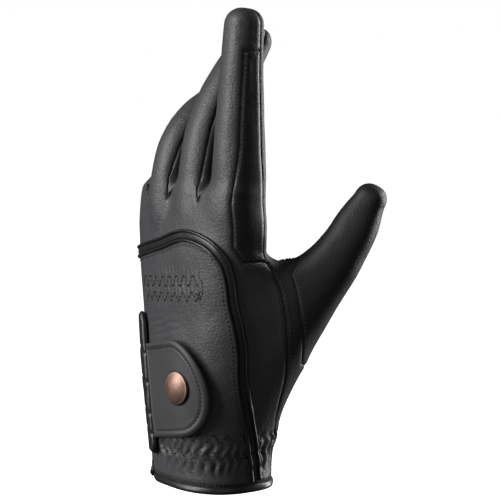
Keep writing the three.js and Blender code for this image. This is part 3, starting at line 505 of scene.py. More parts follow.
@dataclass(frozen=True)
class Nappa:
    """Chrome-tanned nappa: dyed through, with a fine pebbled grain that breaks up its soft gloss.

    Real pebbles are about 0.4 mm wide. They are drawn at about twice that, so that they show.
    """

    name: str
    tone: str
    worn_tone: str
    grain_mm: float = 1.05
    grain_depth_mm: float = 0.09
    roughness: float = 0.5
    specular: float = 0.38
    cloud_mm: float = 22.0
    fine_mm: float = 0.55

    def build(self) -> bpy.types.Material:
        """Builds the leather's material.

        Returns:
            The material.
        """
        material, tree = blank_material(self.name)
        spot = add_node(tree, "ShaderNodeTexCoord").outputs["Object"]
        cloud = add_node(tree, "ShaderNodeTexNoise", {"Scale": 1 / (self.cloud_mm * MM), "Detail": 3.0},
                         {"Vector": spot})
        tones = add_node(tree, "ShaderNodeMix",
                         {"data_type": "RGBA", 6: linear(self.tone), 7: linear(self.worn_tone)},
                         {"Factor": cloud.outputs["Fac"]})
        pebble = add_node(tree, "ShaderNodeTexVoronoi",
                          {"feature": "SMOOTH_F1", "Smoothness": 0.35, "Scale": 1 / (self.grain_mm * MM)},
                          {"Vector": spot})
        fine = add_node(tree, "ShaderNodeTexNoise", {"Scale": 1 / (self.fine_mm * MM), "Detail": 2.0},
                        {"Vector": spot})
        grain = add_node(tree, "ShaderNodeMath", {"operation": "MULTIPLY_ADD", 1: -0.9},
                         {0: pebble.outputs["Distance"], 2: fine.outputs["Fac"]})
        bump = add_node(tree, "ShaderNodeBump", {"Strength": 0.8, "Distance": self.grain_depth_mm * MM},
                        {"Height": grain.outputs[0]})
        gloss = add_node(tree, "ShaderNodeMapRange",
                         {"To Min": self.roughness - 0.06, "To Max": self.roughness + 0.08},
                         {"Value": fine.outputs["Fac"]})
        shader = add_node(tree, "ShaderNodeBsdfPrincipled", {"IOR": 1.5, "Specular IOR Level": self.specular},
                          {"Base Color": tones.outputs[2], "Roughness": gloss.outputs[0],
                           "Normal": bump.outputs[0]})
        add_node(tree, "ShaderNodeOutputMaterial", {}, {"Surface": shader.outputs[0]})
        return material


@dataclass(frozen=True)
class Thread:
    """Bonded polyester sewing thread: twisted, slightly waxy, so each stitch catches a small light."""

    name: str
    tone: str
    twist_mm: float = 0.5
    twist_depth_mm: float = 0.05
    roughness: float = 0.6

    def build(self) -> bpy.types.Material:
        """Builds the thread's material.

        Returns:
            The material.
        """
        material, tree = blank_material(self.name)
        spot = add_node(tree, "ShaderNodeTexCoord").outputs["Object"]
        twist = add_node(tree, "ShaderNodeTexNoise", {"Scale": 1 / (self.twist_mm * MM), "Detail": 1.0},
                         {"Vector": spot})
        bump = add_node(tree, "ShaderNodeBump", {"Strength": 0.5, "Distance": self.twist_depth_mm * MM},
                        {"Height": twist.outputs["Fac"]})
        shader = add_node(tree, "ShaderNodeBsdfPrincipled",
                          {"Base Color": linear(self.tone), "Roughness": self.roughness},
                          {"Normal": bump.outputs[0]})
        add_node(tree, "ShaderNodeOutputMaterial", {}, {"Surface": shader.outputs[0]})
        return material


@dataclass(frozen=True)
class AntiqueCopper:
    """Copper-plated brass, brushed and aged: warm satin metal with brown tarnish in patches."""

    name: str = "antique_copper"
    bright: str = "#8a7062"
    tarnish: str = "#6c5549"
    brush_mm: float = 0.25
    brush_depth_mm: float = 0.02
    patch_mm: float = 4.0

    def build(self) -> bpy.types.Material:
        """Builds the metal's material.

        Returns:
            The material.
        """
        material, tree = blank_material(self.name)
        spot = add_node(tree, "ShaderNodeTexCoord").outputs["Object"]
        patch = add_node(tree, "ShaderNodeTexNoise", {"Scale": 1 / (self.patch_mm * MM), "Detail": 4.0},
                         {"Vector": spot})
        stretch = add_node(tree, "ShaderNodeMapping", {"Scale": (1.0, 1.0, 0.12)}, {"Vector": spot})
        brush = add_node(tree, "ShaderNodeTexNoise", {"Scale": 1 / (self.brush_mm * MM), "Detail": 2.0},
                         {"Vector": stretch.outputs[0]})
        share = add_node(tree, "ShaderNodeMapRange", {"From Min": 0.4, "From Max": 0.75},
                         {"Value": patch.outputs["Fac"]})
        tones = add_node(tree, "ShaderNodeMix",
                         {"data_type": "RGBA", 6: linear(self.bright), 7: linear(self.tarnish)},
                         {"Factor": share.outputs[0]})
        gloss = add_node(tree, "ShaderNodeMapRange", {"To Min": 0.42, "To Max": 0.6},
                         {"Value": brush.outputs["Fac"]})
        bump = add_node(tree, "ShaderNodeBump", {"Strength": 0.25, "Distance": self.brush_depth_mm * MM},
                        {"Height": brush.outputs["Fac"]})
        shader = add_node(tree, "ShaderNodeBsdfPrincipled", {"Metallic": 0.9},
                          {"Base Color": tones.outputs[2], "Roughness": gloss.outputs[0],
                           "Normal": bump.outputs[0]})
        add_node(tree, "ShaderNodeOutputMaterial", {}, {"Surface": shader.outputs[0]})
        return material


class Slot(Enum):
    """Material slots of the record."""

    LEATHER = "leather"
    SIDE = "side_leather"
    TRIM = "trim_leather"
    METAL = "snap_metal"


# Sheep nappa for the back: soft charcoal with a deep grain, the brightest of the leathers.
HAND_LEATHER = Nappa("sheep_nappa", "#333335", "#39393b", grain_depth_mm=0.16, roughness=0.46)
# Nappa of palm and thumb: the same skin as the back, with a flatter and duller grain; its darker tone is
# painted shade where the light doesn't reach.
PALM_LEATHER_PAINTED_SHADE = Nappa("palm_nappa_painted_shade", "#1d1d1f", "#242426", grain_mm=0.95, grain_depth_mm=0.1, roughness=0.56)
# Thin nappa between the fingers and down the index finger: smoother and a little glossier; its tone, darker
# than the back, is painted shade on the sides and gaps that turn away from the light.
SIDE_LEATHER_PAINTED_SHADE = Nappa("thin_nappa_painted_shade", "#1c1c1e", "#222224", grain_mm=0.9, grain_depth_mm=0.06, roughness=0.42)
# Smooth calf for band, pipings, facing and hem: near black, with a clear gloss along each edge.
TRIM_LEATHER = Nappa("smooth_calf", "#121213", "#19191a", grain_mm=0.7, grain_depth_mm=0.03, roughness=0.36)
# Pressed nappa for the tab: flat and dull, as it is glued on a stiffener.
SMOOTH_LEATHER = Nappa("pressed_nappa", "#303032", "#353537", grain_mm=0.8, grain_depth_mm=0.03,
                       roughness=0.55)
# Black thread on the back, darker than the leather, and a paler waxed one along the seams.
THREAD = Thread("bonded_thread", "#0d0d0e")
SEAM_THREAD = Thread("waxed_thread", "#3c3c3f")
# The cap's warm satin metal, and the same metal near black for a thin ring under the cap: painted shade round
# the cap's rim.
COPPER = AntiqueCopper()
SHADE_RING_METAL = AntiqueCopper("painted_shade_ring", "#2a2422", "#181514")


@cache
def material_of(finish: Nappa | Thread | AntiqueCopper) -> bpy.types.Material:
    """The finish's material, built once."""
    return finish.build()


def finished(bm: bmesh.types.BMesh, name: str, finish: Nappa | Thread | AntiqueCopper,
             nodes: Sequence[str] = ()) -> bpy.types.Object:
    """Makes a piece from a mesh in metres and ties it to the frame.

    Args:
        bm: the mesh, which is freed.
        name: the piece's name.
        finish: its finish.
        nodes: the frame's solids that it stands for.

    Returns:
        The piece.
    """
    mesh = bpy.data.meshes.new(name)
    bm.to_mesh(mesh)
    bm.free()
    mesh.shade_smooth()
    piece = bpy.data.objects.new(name, mesh)
    bpy.context.scene.collection.objects.link(piece)
    mesh.materials.append(material_of(finish))
    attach(piece, "root")
    if nodes:
        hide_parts(*nodes)
    log.info("%s: %d faces", name, len(mesh.polygons))
    return piece


# Relief of the leather

WAVES = 12
WAVE_STRETCH = (0.75, 1.4)
WAVE_TURN = 6.28
WAVE_SUM = 4.0


def wander(p: Array, wavelength: float, seed: int) -> Array:
    """Soft random swell between about -1 and 1.

    Args:
        p: points in millimetres.
        wavelength: typical distance between crests.
        seed: number of the pattern.

    Returns:
        The height at each point.
    """
    rng = np.random.default_rng(seed)
    total = np.zeros(len(p))
    for direction in unit(rng.normal(size=(WAVES, 3))):
        stretch = rng.uniform(*WAVE_STRETCH)
        start = rng.uniform(0, WAVE_TURN)
        total += np.sin(p @ direction * 2 * math.pi / (wavelength * stretch) + start)
    return total / WAVE_SUM


def bell(x: Array, middle: float, width: float) -> Array:
    """Smooth bump of height 1 round a middle."""
    return np.exp(-((x - middle) / width) ** 2)


@dataclass
class Relief:
    """Folds, gathers and creases of the worn leather, as heights over the plain form in millimetres."""

    swell: float = 0.16
    swell_length: float = 19.0
    fine_swell: float = 0.03
    fine_length: float = 6.5
    roll_height: float = 0.35
    roll_at: float = 1.2
    hem_line_depth: float = 0.4
    hem_line_at: float = 3.7
    gather_pitch: float = 4.4
    gather_depth: float = 1.5
    gather_low: float = 9.0
    gather_high: float = 30.0
    gather_slant: float = 0.16
    gather_bend: float = 0.9
    gather_bend_length: float = 8.0
    gather_wander: float = 1.1
    gather_range: tuple = (0.15, 1.2)
    groove_depth: float = 0.5
    groove_width: float = 0.6
    shoulder: float = 0.12
    shoulder_at: float = 2.3
    shoulder_width: float = 1.1
    back_from: tuple = (4, 12)
    crease_height: float = 0.16
    crease_pitch: float = 3.4
    crease_at: float = 73.0
    crease_slant: float = 0.28
    crease_middle: float = -4.0
    pucker_height: float = 0.16
    pucker_pitch: float = 3.0
    pucker_at: float = 91.5
    pucker_slant: float = 0.08

    def height(self, p: Array) -> Array:
        """Height of the whole relief.

        Args:
            p: points on the plain form.

        Returns:
            The height at each point.
        """
        total = self.swell * wander(p, self.swell_length, 3)
        total += self.fine_swell * wander(p, self.fine_length, 5)
        return total + self.gathers(p) + self.creases(p) + self.puckers(p) + self.hem_roll(p)

    def hem_roll(self, p: Array) -> Array:
        """The rolled hem and the stitched line above it.

        Args:
            p: points on the plain form.

        Returns:
            Their height at each point.
        """
        z = p[:, 2]
        roll = self.roll_height * bell(z, self.roll_at, 1.1)
        return roll - self.hem_line_depth * bell(z, self.hem_line_at, 0.5)

    def gathers(self, p: Array) -> Array:
        """Upright folds that the elastic draws round the cuff.

        Args:
            p: points on the plain form.

        Returns:
            The folds' height at each point.
        """
        x, y, z = p.T
        _, half_x, half_y, middle, _, _, _ = FORM.palm_section(z)
        angle = np.arctan2(x / half_x, -(y - middle) / half_y)
        round_cuff = (angle * (half_x + half_y) / 2 + self.gather_slant * z
                      + self.gather_bend * np.sin(z * 2 * math.pi / self.gather_bend_length)
                      + self.gather_wander * wander(p * [0.5, 0.5, 1.0], 13, 11))
        fold = 1.7 * np.abs(np.sin(math.pi * round_cuff / self.gather_pitch)) - 1.1
        strength = np.clip(0.65 + 0.45 * wander(p, 15, 12), *self.gather_range)
        rise = ramp(z, self.gather_low - 3, self.gather_low + 6)
        band = rise * (1 - ramp(z, self.gather_high - 10, self.gather_high))
        thumb_side = 0.5 + 0.5 * ramp(x, 14, 27)
        return self.gather_depth * fold * strength * band * thumb_side

    def creases(self, p: Array) -> Array:
        """Shallow slanting creases on the back, just above the tab.

        Args:
            p: points on the plain form.

        Returns:
            The creases' height at each point.
        """
        x, y, z = p.T
        back = ramp(-y, *self.back_from)
        slant = z - self.crease_slant * x
        near_tab = bell(z, self.crease_at, 5) * bell(x, self.crease_middle, 14)
        lines = np.sin(slant * 2 * math.pi / self.crease_pitch + 0.9 * wander(p, 11, 21))
        return self.crease_height * back * near_tab * lines

    def puckers(self, p: Array) -> Array:
        """Small puckers between the zigzag rows on the back.

        Args:
            p: points on the plain form.

        Returns:
            The puckers' height at each point.
        """
        x, y, z = p.T
        back = ramp(-y, *self.back_from)
        row = z - self.pucker_at - self.pucker_slant * x
        band = bell(row, 0, 9) * ramp(x, -32, -22) * (1 - ramp(x, 22, 28))
        waves = np.sin(x * 2 * math.pi / self.pucker_pitch + 1.5 * wander(p, 9, 31))
        return self.pucker_height * back * band * waves


RELIEF = Relief()


# Leather panels

def rim_loops(bm: bmesh.types.BMesh) -> list[list[bmesh.types.BMVert]]:
    """Closed loops of vertices along a sheet's free edges.

    Args:
        bm: the sheet.

    Returns:
        The loops, each with its first vertex again at its end.
    """
    edges = dict.fromkeys(edge for edge in bm.edges if edge.is_boundary)
    loops = []
    while edges:
        edge, _ = edges.popitem()
        loop = list(edge.verts)
        while True:
            following = next((e for e in loop[-1].link_edges if e in edges), None)
            if following is None:
                break
            del edges[following]
            loop.append(following.other_vert(loop[-1]))
        loops.append(loop)
    return loops


def coordinates(bm: bmesh.types.BMesh) -> Array:
    """Vertex places in millimetres."""
    return np.array([v.co for v in bm.verts], float) / MM


def place(bm: bmesh.types.BMesh, points: Array) -> None:
    """Moves the vertices to places in millimetres."""
    for vert, point in zip(bm.verts, points * MM):
        vert.co = point


def outward_share(bm: bmesh.types.BMesh) -> Array:
    """How far the form's distance rises along the normal of each face.

    Args:
        bm: the mesh.

    Returns:
        The rise of each face, below zero where it faces inwards.
    """
    centres = np.array([f.calc_center_median() for f in bm.faces]) / MM
    normals = np.array([f.normal for f in bm.faces])
    return FORM.distance(centres + PROBE * normals) - FORM.distance(centres - PROBE * normals)


def search_tree(points: Sequence[Vector]) -> KDTree:
    """A tree that finds the nearest of some points.

    Args:
        points: the points.

    Returns:
        The tree, ready to search.
    """
    tree = KDTree(len(points))
    for i, point in enumerate(points):
        tree.insert(point, i)
    tree.balance()
    return tree


def double_grid(columns: int, rows: int) -> tuple[bmesh.types.BMesh, Array, Array, Array]:
    """Two flat grids on each other, the top and the underside of a padded piece.

    Args:
        columns: steps along it.
        rows: steps across it.

    Returns:
        The mesh, each vertex's place from -1 to 1 along and across, and which belong to the underside.
    """
    bm = bmesh.new()
    bmesh.ops.create_grid(bm, x_segments=columns, y_segments=rows, size=1.0)
    copy = bmesh.ops.duplicate(bm, geom=list(bm.verts) + list(bm.edges) + list(bm.faces))
    under = {g for g in copy["geom"] if isinstance(g, bmesh.types.BMVert)}
    x = np.array([v.co.x for v in bm.verts])
    y = np.array([v.co.y for v in bm.verts])
    return bm, x, y, np.array([v in under for v in bm.verts])


def close(bm: bmesh.types.BMesh, within_mm: float = 0.04) -> None:
    """Joins the vertices that meet and turns the faces outwards."""
    bmesh.ops.remove_doubles(bm, verts=bm.verts, dist=within_mm * MM)
    bmesh.ops.recalc_face_normals(bm, faces=bm.faces)


@dataclass
class Seams:
    """Rims of every panel at close steps, and which panel each point belongs to."""

    points: list[Vector]
    owners: list[str]
    reach: float = 1.2
    largest_step: float = 3.0

    def __post_init__(self) -> None:
        """Sorts the points for searching and finds the sewn ones."""
        self.tree = search_tree(self.points)
        self.sewn = search_tree([p for p, owner in zip(self.points, self.owners)
                                 if self.partner(p, owner) is not None])

    def partner(self, at: Vector, own: str, other: str = "") -> Vector | None:
        """Nearest rim point of another panel, or of one named panel, within reach.

        Args:
            at: the place.
            own: the panel that it belongs to.
            other: the panel that is looked for, or any.

        Returns:
            The rim point, or None where there is none.
        """
        found = [(gap, i) for _, i, gap in self.tree.find_range(at, self.reach * MM)
                 if self.owners[i] != own and other in ("", self.owners[i])]
        return self.points[min(found)[1]] if found else None

    def line(self, own: str, other: str) -> Array:
        """The longest stretch where two panels are sewn together, in millimetres, from its lower end.

        Args:
            own: the panel whose rim is followed.
            other: the panel sewn to it.

        Returns:
            Points along the stretch.
        """
        ring = [p for p, owner in zip(self.points, self.owners) if owner == own]
        joined = [self.partner(p, own, other) is not None for p in ring]
        start = next((i for i in range(len(ring)) if joined[i] and not joined[i - 1]), 0)
        runs, run = [], []
        for i in range(len(ring)):
            k = (start + i) % len(ring)
            if joined[k] and (not run or (ring[k] - run[-1]).length < self.largest_step * MM):
                run.append(ring[k])
            else:
                runs.append(run)
                run = [ring[k]] if joined[k] else []
        runs.append(run)
        longest = max(runs, key=len)
        if longest[0].z > longest[-1].z:
            longest.reverse()
        return np.array(longest) / MM


def bent(corner: Vector, chord: Vector, start: Vector, end: Vector, t: float) -> Vector:
    """A place on the smooth curve over a chord.

    Args:
        corner: the chord's first end.
        chord: the chord.
        start: the curve's direction there.
        end: its direction at the other end.
        t: share of the way.

    Returns:
        The place.
    """
    length = chord.length
    return ((2 * t ** 3 - 3 * t ** 2 + 1) * corner + (3 * t ** 2 - 2 * t ** 3) * (corner + chord)
            + (t ** 3 - 2 * t ** 2 + t) * length * start.normalized()
            + (t ** 3 - t ** 2) * length * end.normalized())


@dataclass
class Panel:
    """One cut piece of leather: the outer side of its solid, made fine, sewn in at its edges."""

    node: str
    finish: Nappa = HAND_LEATHER
    slot: Slot = Slot.LEATHER
    wall: float = 1.1
    fine: float = 0.95
    fine_at_seams: float = 0.55
    fold_angle: float = 55.0
    groove: float = 1.0
    stand: float = 0.0
    first_steps: tuple = (3.8, 1.9)
    seam_zone: float = 2.4
    closed_share: float = 0.8
    skin: BVHTree | None = field(default=None, init=False, repr=False)

    def outer_side(self) -> bmesh.types.BMesh:
        """The outer faces of the solid, found by which way they face.

        Returns:
            The sheet of outer faces.
        """
        bm = bmesh.new()
        bm.from_mesh(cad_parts[self.node].data)
        bmesh.ops.remove_doubles(bm, verts=bm.verts, dist=0.01 * MM)
        bm.faces.ensure_lookup_table()
        bm.faces.index_update()
        rise = outward_share(bm)
        areas = np.array([f.calc_area() for f in bm.faces])
        seen = np.zeros(len(bm.faces), bool)
        chosen = set()
        for start in bm.faces:
            if not seen[start.index]:
                group = self._smooth_group(start, seen)
                if np.average(rise[group], weights=areas[group] + 1e-12) < 0.25:
                    chosen.update(group)
        bmesh.ops.delete(bm, geom=[f for f in bm.faces if f.index in chosen], context="FACES")
        return bm

    def _smooth_group(self, start: bmesh.types.BMFace, seen: Array) -> list[int]:
        """Numbers of the faces that are reached from one without crossing a sharp edge.

        Args:
            start: the first face.
            seen: which faces have been reached, brought up to date.

        Returns:
            The faces' numbers.
        """
        sharp = math.radians(self.fold_angle)
        seen[start.index] = True
        group, waiting = [], [start]
        while waiting:
            face = waiting.pop()
            group.append(face.index)
            for edge in face.edges:
                if edge.is_manifold and edge.calc_face_angle() < sharp:
                    for other in edge.link_faces:
                        if not seen[other.index]:
                            seen[other.index] = True
                            waiting.append(other)
        return group

    def refine(self, bm: bmesh.types.BMesh) -> None:
        """Divides long edges and settles the new points on the form, keeping the rims smooth.

        Args:
            bm: the sheet of outer faces.
        """
        seat = bm.verts.layers.float.new("seat")
        for vert in bm.verts:
            vert[seat] = self.stand
        first = set(bm.verts)
        for longest in (*self.first_steps, self.fine):
            self._split(bm, [e for e in bm.edges if e.calc_length() > longest * MM])
            self._settle(bm, seat)
        self._smooth_rims(bm, first)
        rims = search_tree([v.co for v in bm.verts if v.is_boundary])
        near = {v for v in bm.verts if rims.find(v.co)[2] < self.seam_zone * MM}
        self._split(bm, [e for e in bm.edges if e.verts[0] in near and e.verts[1] in near
                         and e.calc_length() > self.fine_at_seams * MM])
        self._settle(bm, seat)

    @staticmethod
    def _split(bm: bmesh.types.BMesh, edges: list) -> None:
        """Halves edges and leaves triangles."""
        bmesh.ops.subdivide_edges(bm, edges=edges, cuts=1, use_grid_fill=True)
        bmesh.ops.triangulate(bm, faces=[f for f in bm.faces if len(f.verts) > 3])

    @staticmethod
    def _settle(bm: bmesh.types.BMesh, seat: bmesh.types.BMLayerItem) -> None:
        """Moves the vertices onto the form, each at its own seat."""
        place(bm, FORM.settled(coordinates(bm), np.array([v[seat] for v in bm.verts])))

    @staticmethod
    def _smooth_rims(bm: bmesh.types.BMesh, first: set, corner_angle: float = 1.0) -> None:
        """Bends the rims into smooth curves through the solid's own corners.

        Args:
            bm: the refined sheet.
            first: the vertices that the solid had.
            corner_angle: the turn, in radians, past which a corner stays sharp.
        """
        for loop in rim_loops(bm):
            ring = loop[:-1] if loop[0] == loop[-1] else loop
            stops = [i for i, vert in enumerate(ring) if vert in first]
            if len(stops) < 4:
                continue
            corners = [ring[i].co.copy() for i in stops]
            count = len(stops)
            chords = [corners[(k + 1) % count] - corners[k] for k in range(count)]
            for k in range(count):
                before, chord, after = chords[k - 1], chords[k], chords[(k + 1) % count]
                start, end = before.normalized() + chord.normalized(), chord.normalized() + after.normalized()
                if before.angle(chord, 0) > corner_angle:
                    start = chord
                if chord.angle(after, 0) > corner_angle:
                    end = chord
                low, high = stops[k], stops[(k + 1) % count]
                steps = (high - low) % len(ring)
                for step in range(1, steps):
                    ring[(low + step) % len(ring)].co = bent(corners[k], chord, start, end, step / steps)

    def shape(self, bm: bmesh.types.BMesh, seams: Seams) -> None:
        """Turns the sewn edges in, closes them on their neighbours and adds the relief.

        Args:
            bm: the refined sheet.
            seams: the seams between the panels.
        """
        gap = np.array([seams.sewn.find(v.co)[2] for v in bm.verts]) / MM
        for vert in bm.verts:
            partner = seams.partner(vert.co, self.node) if vert.is_boundary else None
            if partner is not None:
                vert.co += (partner - vert.co) * self.closed_share
        p = coordinates(bm)
        turned_in = -RELIEF.groove_depth * bell(gap, 0, RELIEF.groove_width)
        shoulder = RELIEF.shoulder * bell(gap, RELIEF.shoulder_at, RELIEF.shoulder_width)
        lift = self.groove * (turned_in + shoulder) + RELIEF.height(p) * self.relief_share(p, gap)
        place(bm, p + FORM.outward(p) * lift[:, None])

    @staticmethod
    def relief_share(p: Array, gap: Array) -> Array:
        """Share of the relief, less in the narrow spaces between fingers."""
        return 1 - 0.75 * ramp(p[:, 2], 118, 130) * (1 - ramp(gap, 0, 6)) * 0.5

    def build(self, seams: Seams) -> bpy.types.Object:
        """Builds the finished panel with its wall.

        Args:
            seams: the seams between the panels.

        Returns:
            The panel.
        """
        bm = self.outer_side()
        self.refine(bm)
        self.shape(bm, seams)
        bmesh.ops.recalc_face_normals(bm, faces=bm.faces)
        self._face_outwards(bm)
        self.skin = BVHTree.FromBMesh(bm)
        piece = finished(bm, f"{self.node}_leather", self.finish, [self.node])
        wall = piece.modifiers.new("wall", "SOLIDIFY")
        wall.thickness = self.wall * MM
        wall.offset = -1.0
        return piece

    @staticmethod
    def _face_outwards(bm: bmesh.types.BMesh) -> None:
        """Turns the sheet over where its faces point into the hand."""
        if outward_share(bm).mean() < 0:
            bmesh.ops.reverse_faces(bm, faces=bm.faces)


@dataclass
class Shell:
    """All the leather panels and the seams where they meet."""

    panels: tuple = (
        Panel("back_panel"),
        Panel("wrist_back_panel"),
        Panel("palm_panel", PALM_LEATHER_PAINTED_SHADE, groove=0.5),
        Panel("thumb", PALM_LEATHER_PAINTED_SHADE, groove=0.4),
        Panel("index_side_panel", SIDE_LEATHER_PAINTED_SHADE, Slot.SIDE),
        Panel("fourchette_ring_little", SIDE_LEATHER_PAINTED_SHADE, Slot.SIDE),
        Panel("fourchette_middle_ring", SIDE_LEATHER_PAINTED_SHADE, Slot.SIDE),
        Panel("fourchette_index_middle", SIDE_LEATHER_PAINTED_SHADE, Slot.SIDE),
        Panel("hem_binding", TRIM_LEATHER, Slot.TRIM, wall=2.0, groove=0.8, stand=0.5),
    )
    rim_step: float = 0.15

    def seams(self) -> Seams:
        """The rims of the panels, before they are made fine.

        Returns:
            The rims, with the panel that each point belongs to.
        """
        points, owners = [], []
        for panel in self.panels:
            bm = panel.outer_side()
            for loop in rim_loops(bm):
                for a, b in zip(loop[:-1], loop[1:]):
                    steps = max(1, math.ceil((b.co - a.co).length / (self.rim_step * MM)))
                    points += [a.co.lerp(b.co, (step + 0.5) / steps) for step in range(steps)]
                    owners += [panel.node] * steps
            bm.free()
        return Seams(points, owners)

    def build(self) -> Seams:
        """Builds every panel and returns the seams between them.

        Returns:
            The seams.
        """
        seams = self.seams()
        for panel in self.panels:
            panel.build(seams)
        return seams

    def laid(self, points: Array, reach: float = 3.0) -> "Path":
        """Points near the skin, laid on the finished leather.

        Args:
            points: places near the skin, in millimetres.
            reach: how far above the skin the search starts.

        Returns:
            The places on the leather with their outward directions.
        """
        normals = FORM.outward(points)
        laid, kept = [], []
        for point, normal in zip(points, normals):
            start, down = Vector((point + normal * reach) * MM), Vector(-normal)
            hits = [panel.skin.ray_cast(start, down, 2 * reach * MM) for panel in self.panels]
            gaps = [hit[3] for hit in hits if hit[0] is not None]
            if gaps:
                laid.append(point + normal * (reach - min(gaps) / MM))
                kept.append(normal)
        return Path(np.array(laid), np.array(kept))


# Lines, strips and stitches

@dataclass
class Path:
    """A line on the glove: places and outward directions, in millimetres."""

    at: Array
    normal: Array

    def along(self) -> Array:
        """Unit directions along the line."""
        return unit(np.gradient(self.at, axis=0))

    def side(self) -> Array:
        """Unit directions across the line."""
        return unit(np.cross(self.along(), self.normal))

    def shifted(self, across: float, up: float) -> "Path":
        """The line moved sideways and outwards."""
        return Path(self.at + across * self.side() + up * self.normal, self.normal)

    def even(self, spacing: float) -> "Path":
        """The line at even steps of about a spacing.

        Args:
            spacing: the distance between steps.

        Returns:
            The even line.
        """
        reach = np.concatenate([[0], np.cumsum(np.linalg.norm(np.diff(self.at, axis=0), axis=1))])
        steps = np.linspace(0, reach[-1], max(2, round(reach[-1] / spacing) + 1))
        at = np.stack([np.interp(steps, reach, self.at[:, k]) for k in range(3)], 1)
        return Path(at, unit(np.stack([np.interp(steps, reach, self.normal[:, k]) for k in range(3)], 1)))

    def softened(self, rounds: int) -> "Path":
        """The line with its small kinks smoothed away.

        Args:
            rounds: how many times it is smoothed.

        Returns:
            The smooth line.
        """
        at, normal = self.at.copy(), self.normal.copy()
        for _ in range(rounds):
            for row in (at, normal):
                row[1:-1] = (row[:-2] + 2 * row[1:-1] + row[2:]) / 4
        return Path(at, unit(normal))


def sweep(bm: bmesh.types.BMesh, section: Array, path: Path) -> None:
    """Extrudes a closed section along a path, ring by ring, and closes its ends.

    Args:
        bm: the mesh that gets the bar.
        section: places across and up, in millimetres.
        path: the path.
    """
    side = path.side()

    def corner(i: int, k: int) -> Vector:
        """Place of one section corner at one step."""
        return Vector((path.at[i] + section[k][0] * side[i] + section[k][1] * path.normal[i]) * MM)

    ring = [bm.verts.new(corner(0, k)) for k in range(len(section))]
    edges = [bm.edges.new((ring[k - 1], ring[k])) for k in range(len(section))]
    bmesh.ops.edgeloop_fill(bm, edges=edges)
    for i in range(1, len(path.at)):
        made = bmesh.ops.extrude_edge_only(bm, edges=edges)["geom"]
        fresh = [g for g in made if isinstance(g, bmesh.types.BMVert)]
        edges = [g for g in made if isinstance(g, bmesh.types.BMEdge)
                 and all(v in fresh for v in g.verts)]
        ring = [min(fresh, key=lambda v, old=old: (v.co - old.co).length) for old in ring]
        for k, vert in enumerate(ring):
            vert.co = corner(i, k)
    bmesh.ops.edgeloop_fill(bm, edges=edges)
    bmesh.ops.recalc_face_normals(bm, faces=bm.faces)


def round_section(radius: float, across: float, up: float, sides: int = 12) -> Array:
    """Corners of a round section."""
    angles = np.arange(sides) * 2 * math.pi / sides
    return np.stack([across + radius * np.cos(angles), up + radius * np.sin(angles)], 1)


@dataclass
class Stitching:
    """Rows of stitches: short rounded lengths of thread, half sunk in the leather."""

    name: str
    length: float = 1.3
    gap: float = 0.7
    width: float = 0.5
    height: float = 0.4
    up: float = 0.05
    leg_share: float = 0.86
    finish: Thread = THREAD
    slot: Slot = Slot.TRIM
    bm: bmesh.types.BMesh = field(default_factory=bmesh.new)

    def one(self, at: Array, along: Array, normal: Array, length: float) -> None:
        """Adds one stitch.

        Args:
            at: its middle.
            along: its direction.
            normal: the outward direction.
            length: its length.
        """
        side = np.cross(along, normal)
        columns = [side * self.width / 2, np.cross(along, side) * self.height / 2, along * length / 2,
                   at + normal * self.up]
        matrix = Matrix([[columns[c][r] * MM for c in range(4)] for r in range(3)] + [[0, 0, 0, 1]])
        bmesh.ops.create_uvsphere(self.bm, u_segments=6, v_segments=4, radius=1.0, matrix=matrix)

    def run(self, path: Path) -> None:
        """Adds a straight row of stitches along a path.

        Args:
            path: the path, already laid on the leather.
        """
        reach = np.linalg.norm(np.diff(path.at, axis=0), axis=1).sum()
        count = max(1, round(reach / (self.length + self.gap)))
        line = path.even(reach / count / 2)
        along = line.along()
        for i in range(1, len(line.at), 2):
            self.one(line.at[i], along[i], line.normal[i], self.length)

    def legs(self, shell: Shell, corners: Array, per_leg: int = 3) -> None:
        """Adds a row from corner to corner, with a few stitches to each leg.

        A row that doesn't lie on the leather over its whole length is left out and reported.

        Args:
            shell: the leather that the stitches lie on.
            corners: the row's corners on the plain form.
            per_leg: stitches from corner to corner.
        """
        steps = np.repeat(np.diff(corners, axis=0) / per_leg, per_leg, axis=0)
        shares = np.tile(np.arange(per_leg) + 0.5, len(corners) - 1)
        laid = shell.laid(np.repeat(corners[:-1], per_leg, axis=0) + steps * shares[:, None])
        if len(laid.at) != len(steps):
            log.warning("%s: a row misses the leather", self.name)
            return
        for at, normal, step in zip(laid.at, laid.normal, steps):
            along = unit(step - normal * (step @ normal))
            self.one(at, along, normal, np.linalg.norm(step) * self.leg_share)

    def build(self) -> bpy.types.Object:
        """Makes the piece from its rows."""
        bmesh.ops.recalc_face_normals(self.bm, faces=self.bm.faces)
        return finished(self.bm, self.name, self.finish)


# The band's line: columns on the back of the hand and shares of the palm's length.
TRIM_LINE = ((0, .745), (2.2, .776), (5.5, .8), (9.2, .832), (12.3, .868), (14.2, .868), (16.1, .845),
             (17.3, .8), (17.8, .745), (18.2, .66), (18.8, .575), (19.2, .49), (19.4, .39), (19.7, .29),
             (20.1, .16), (20.4, .03))


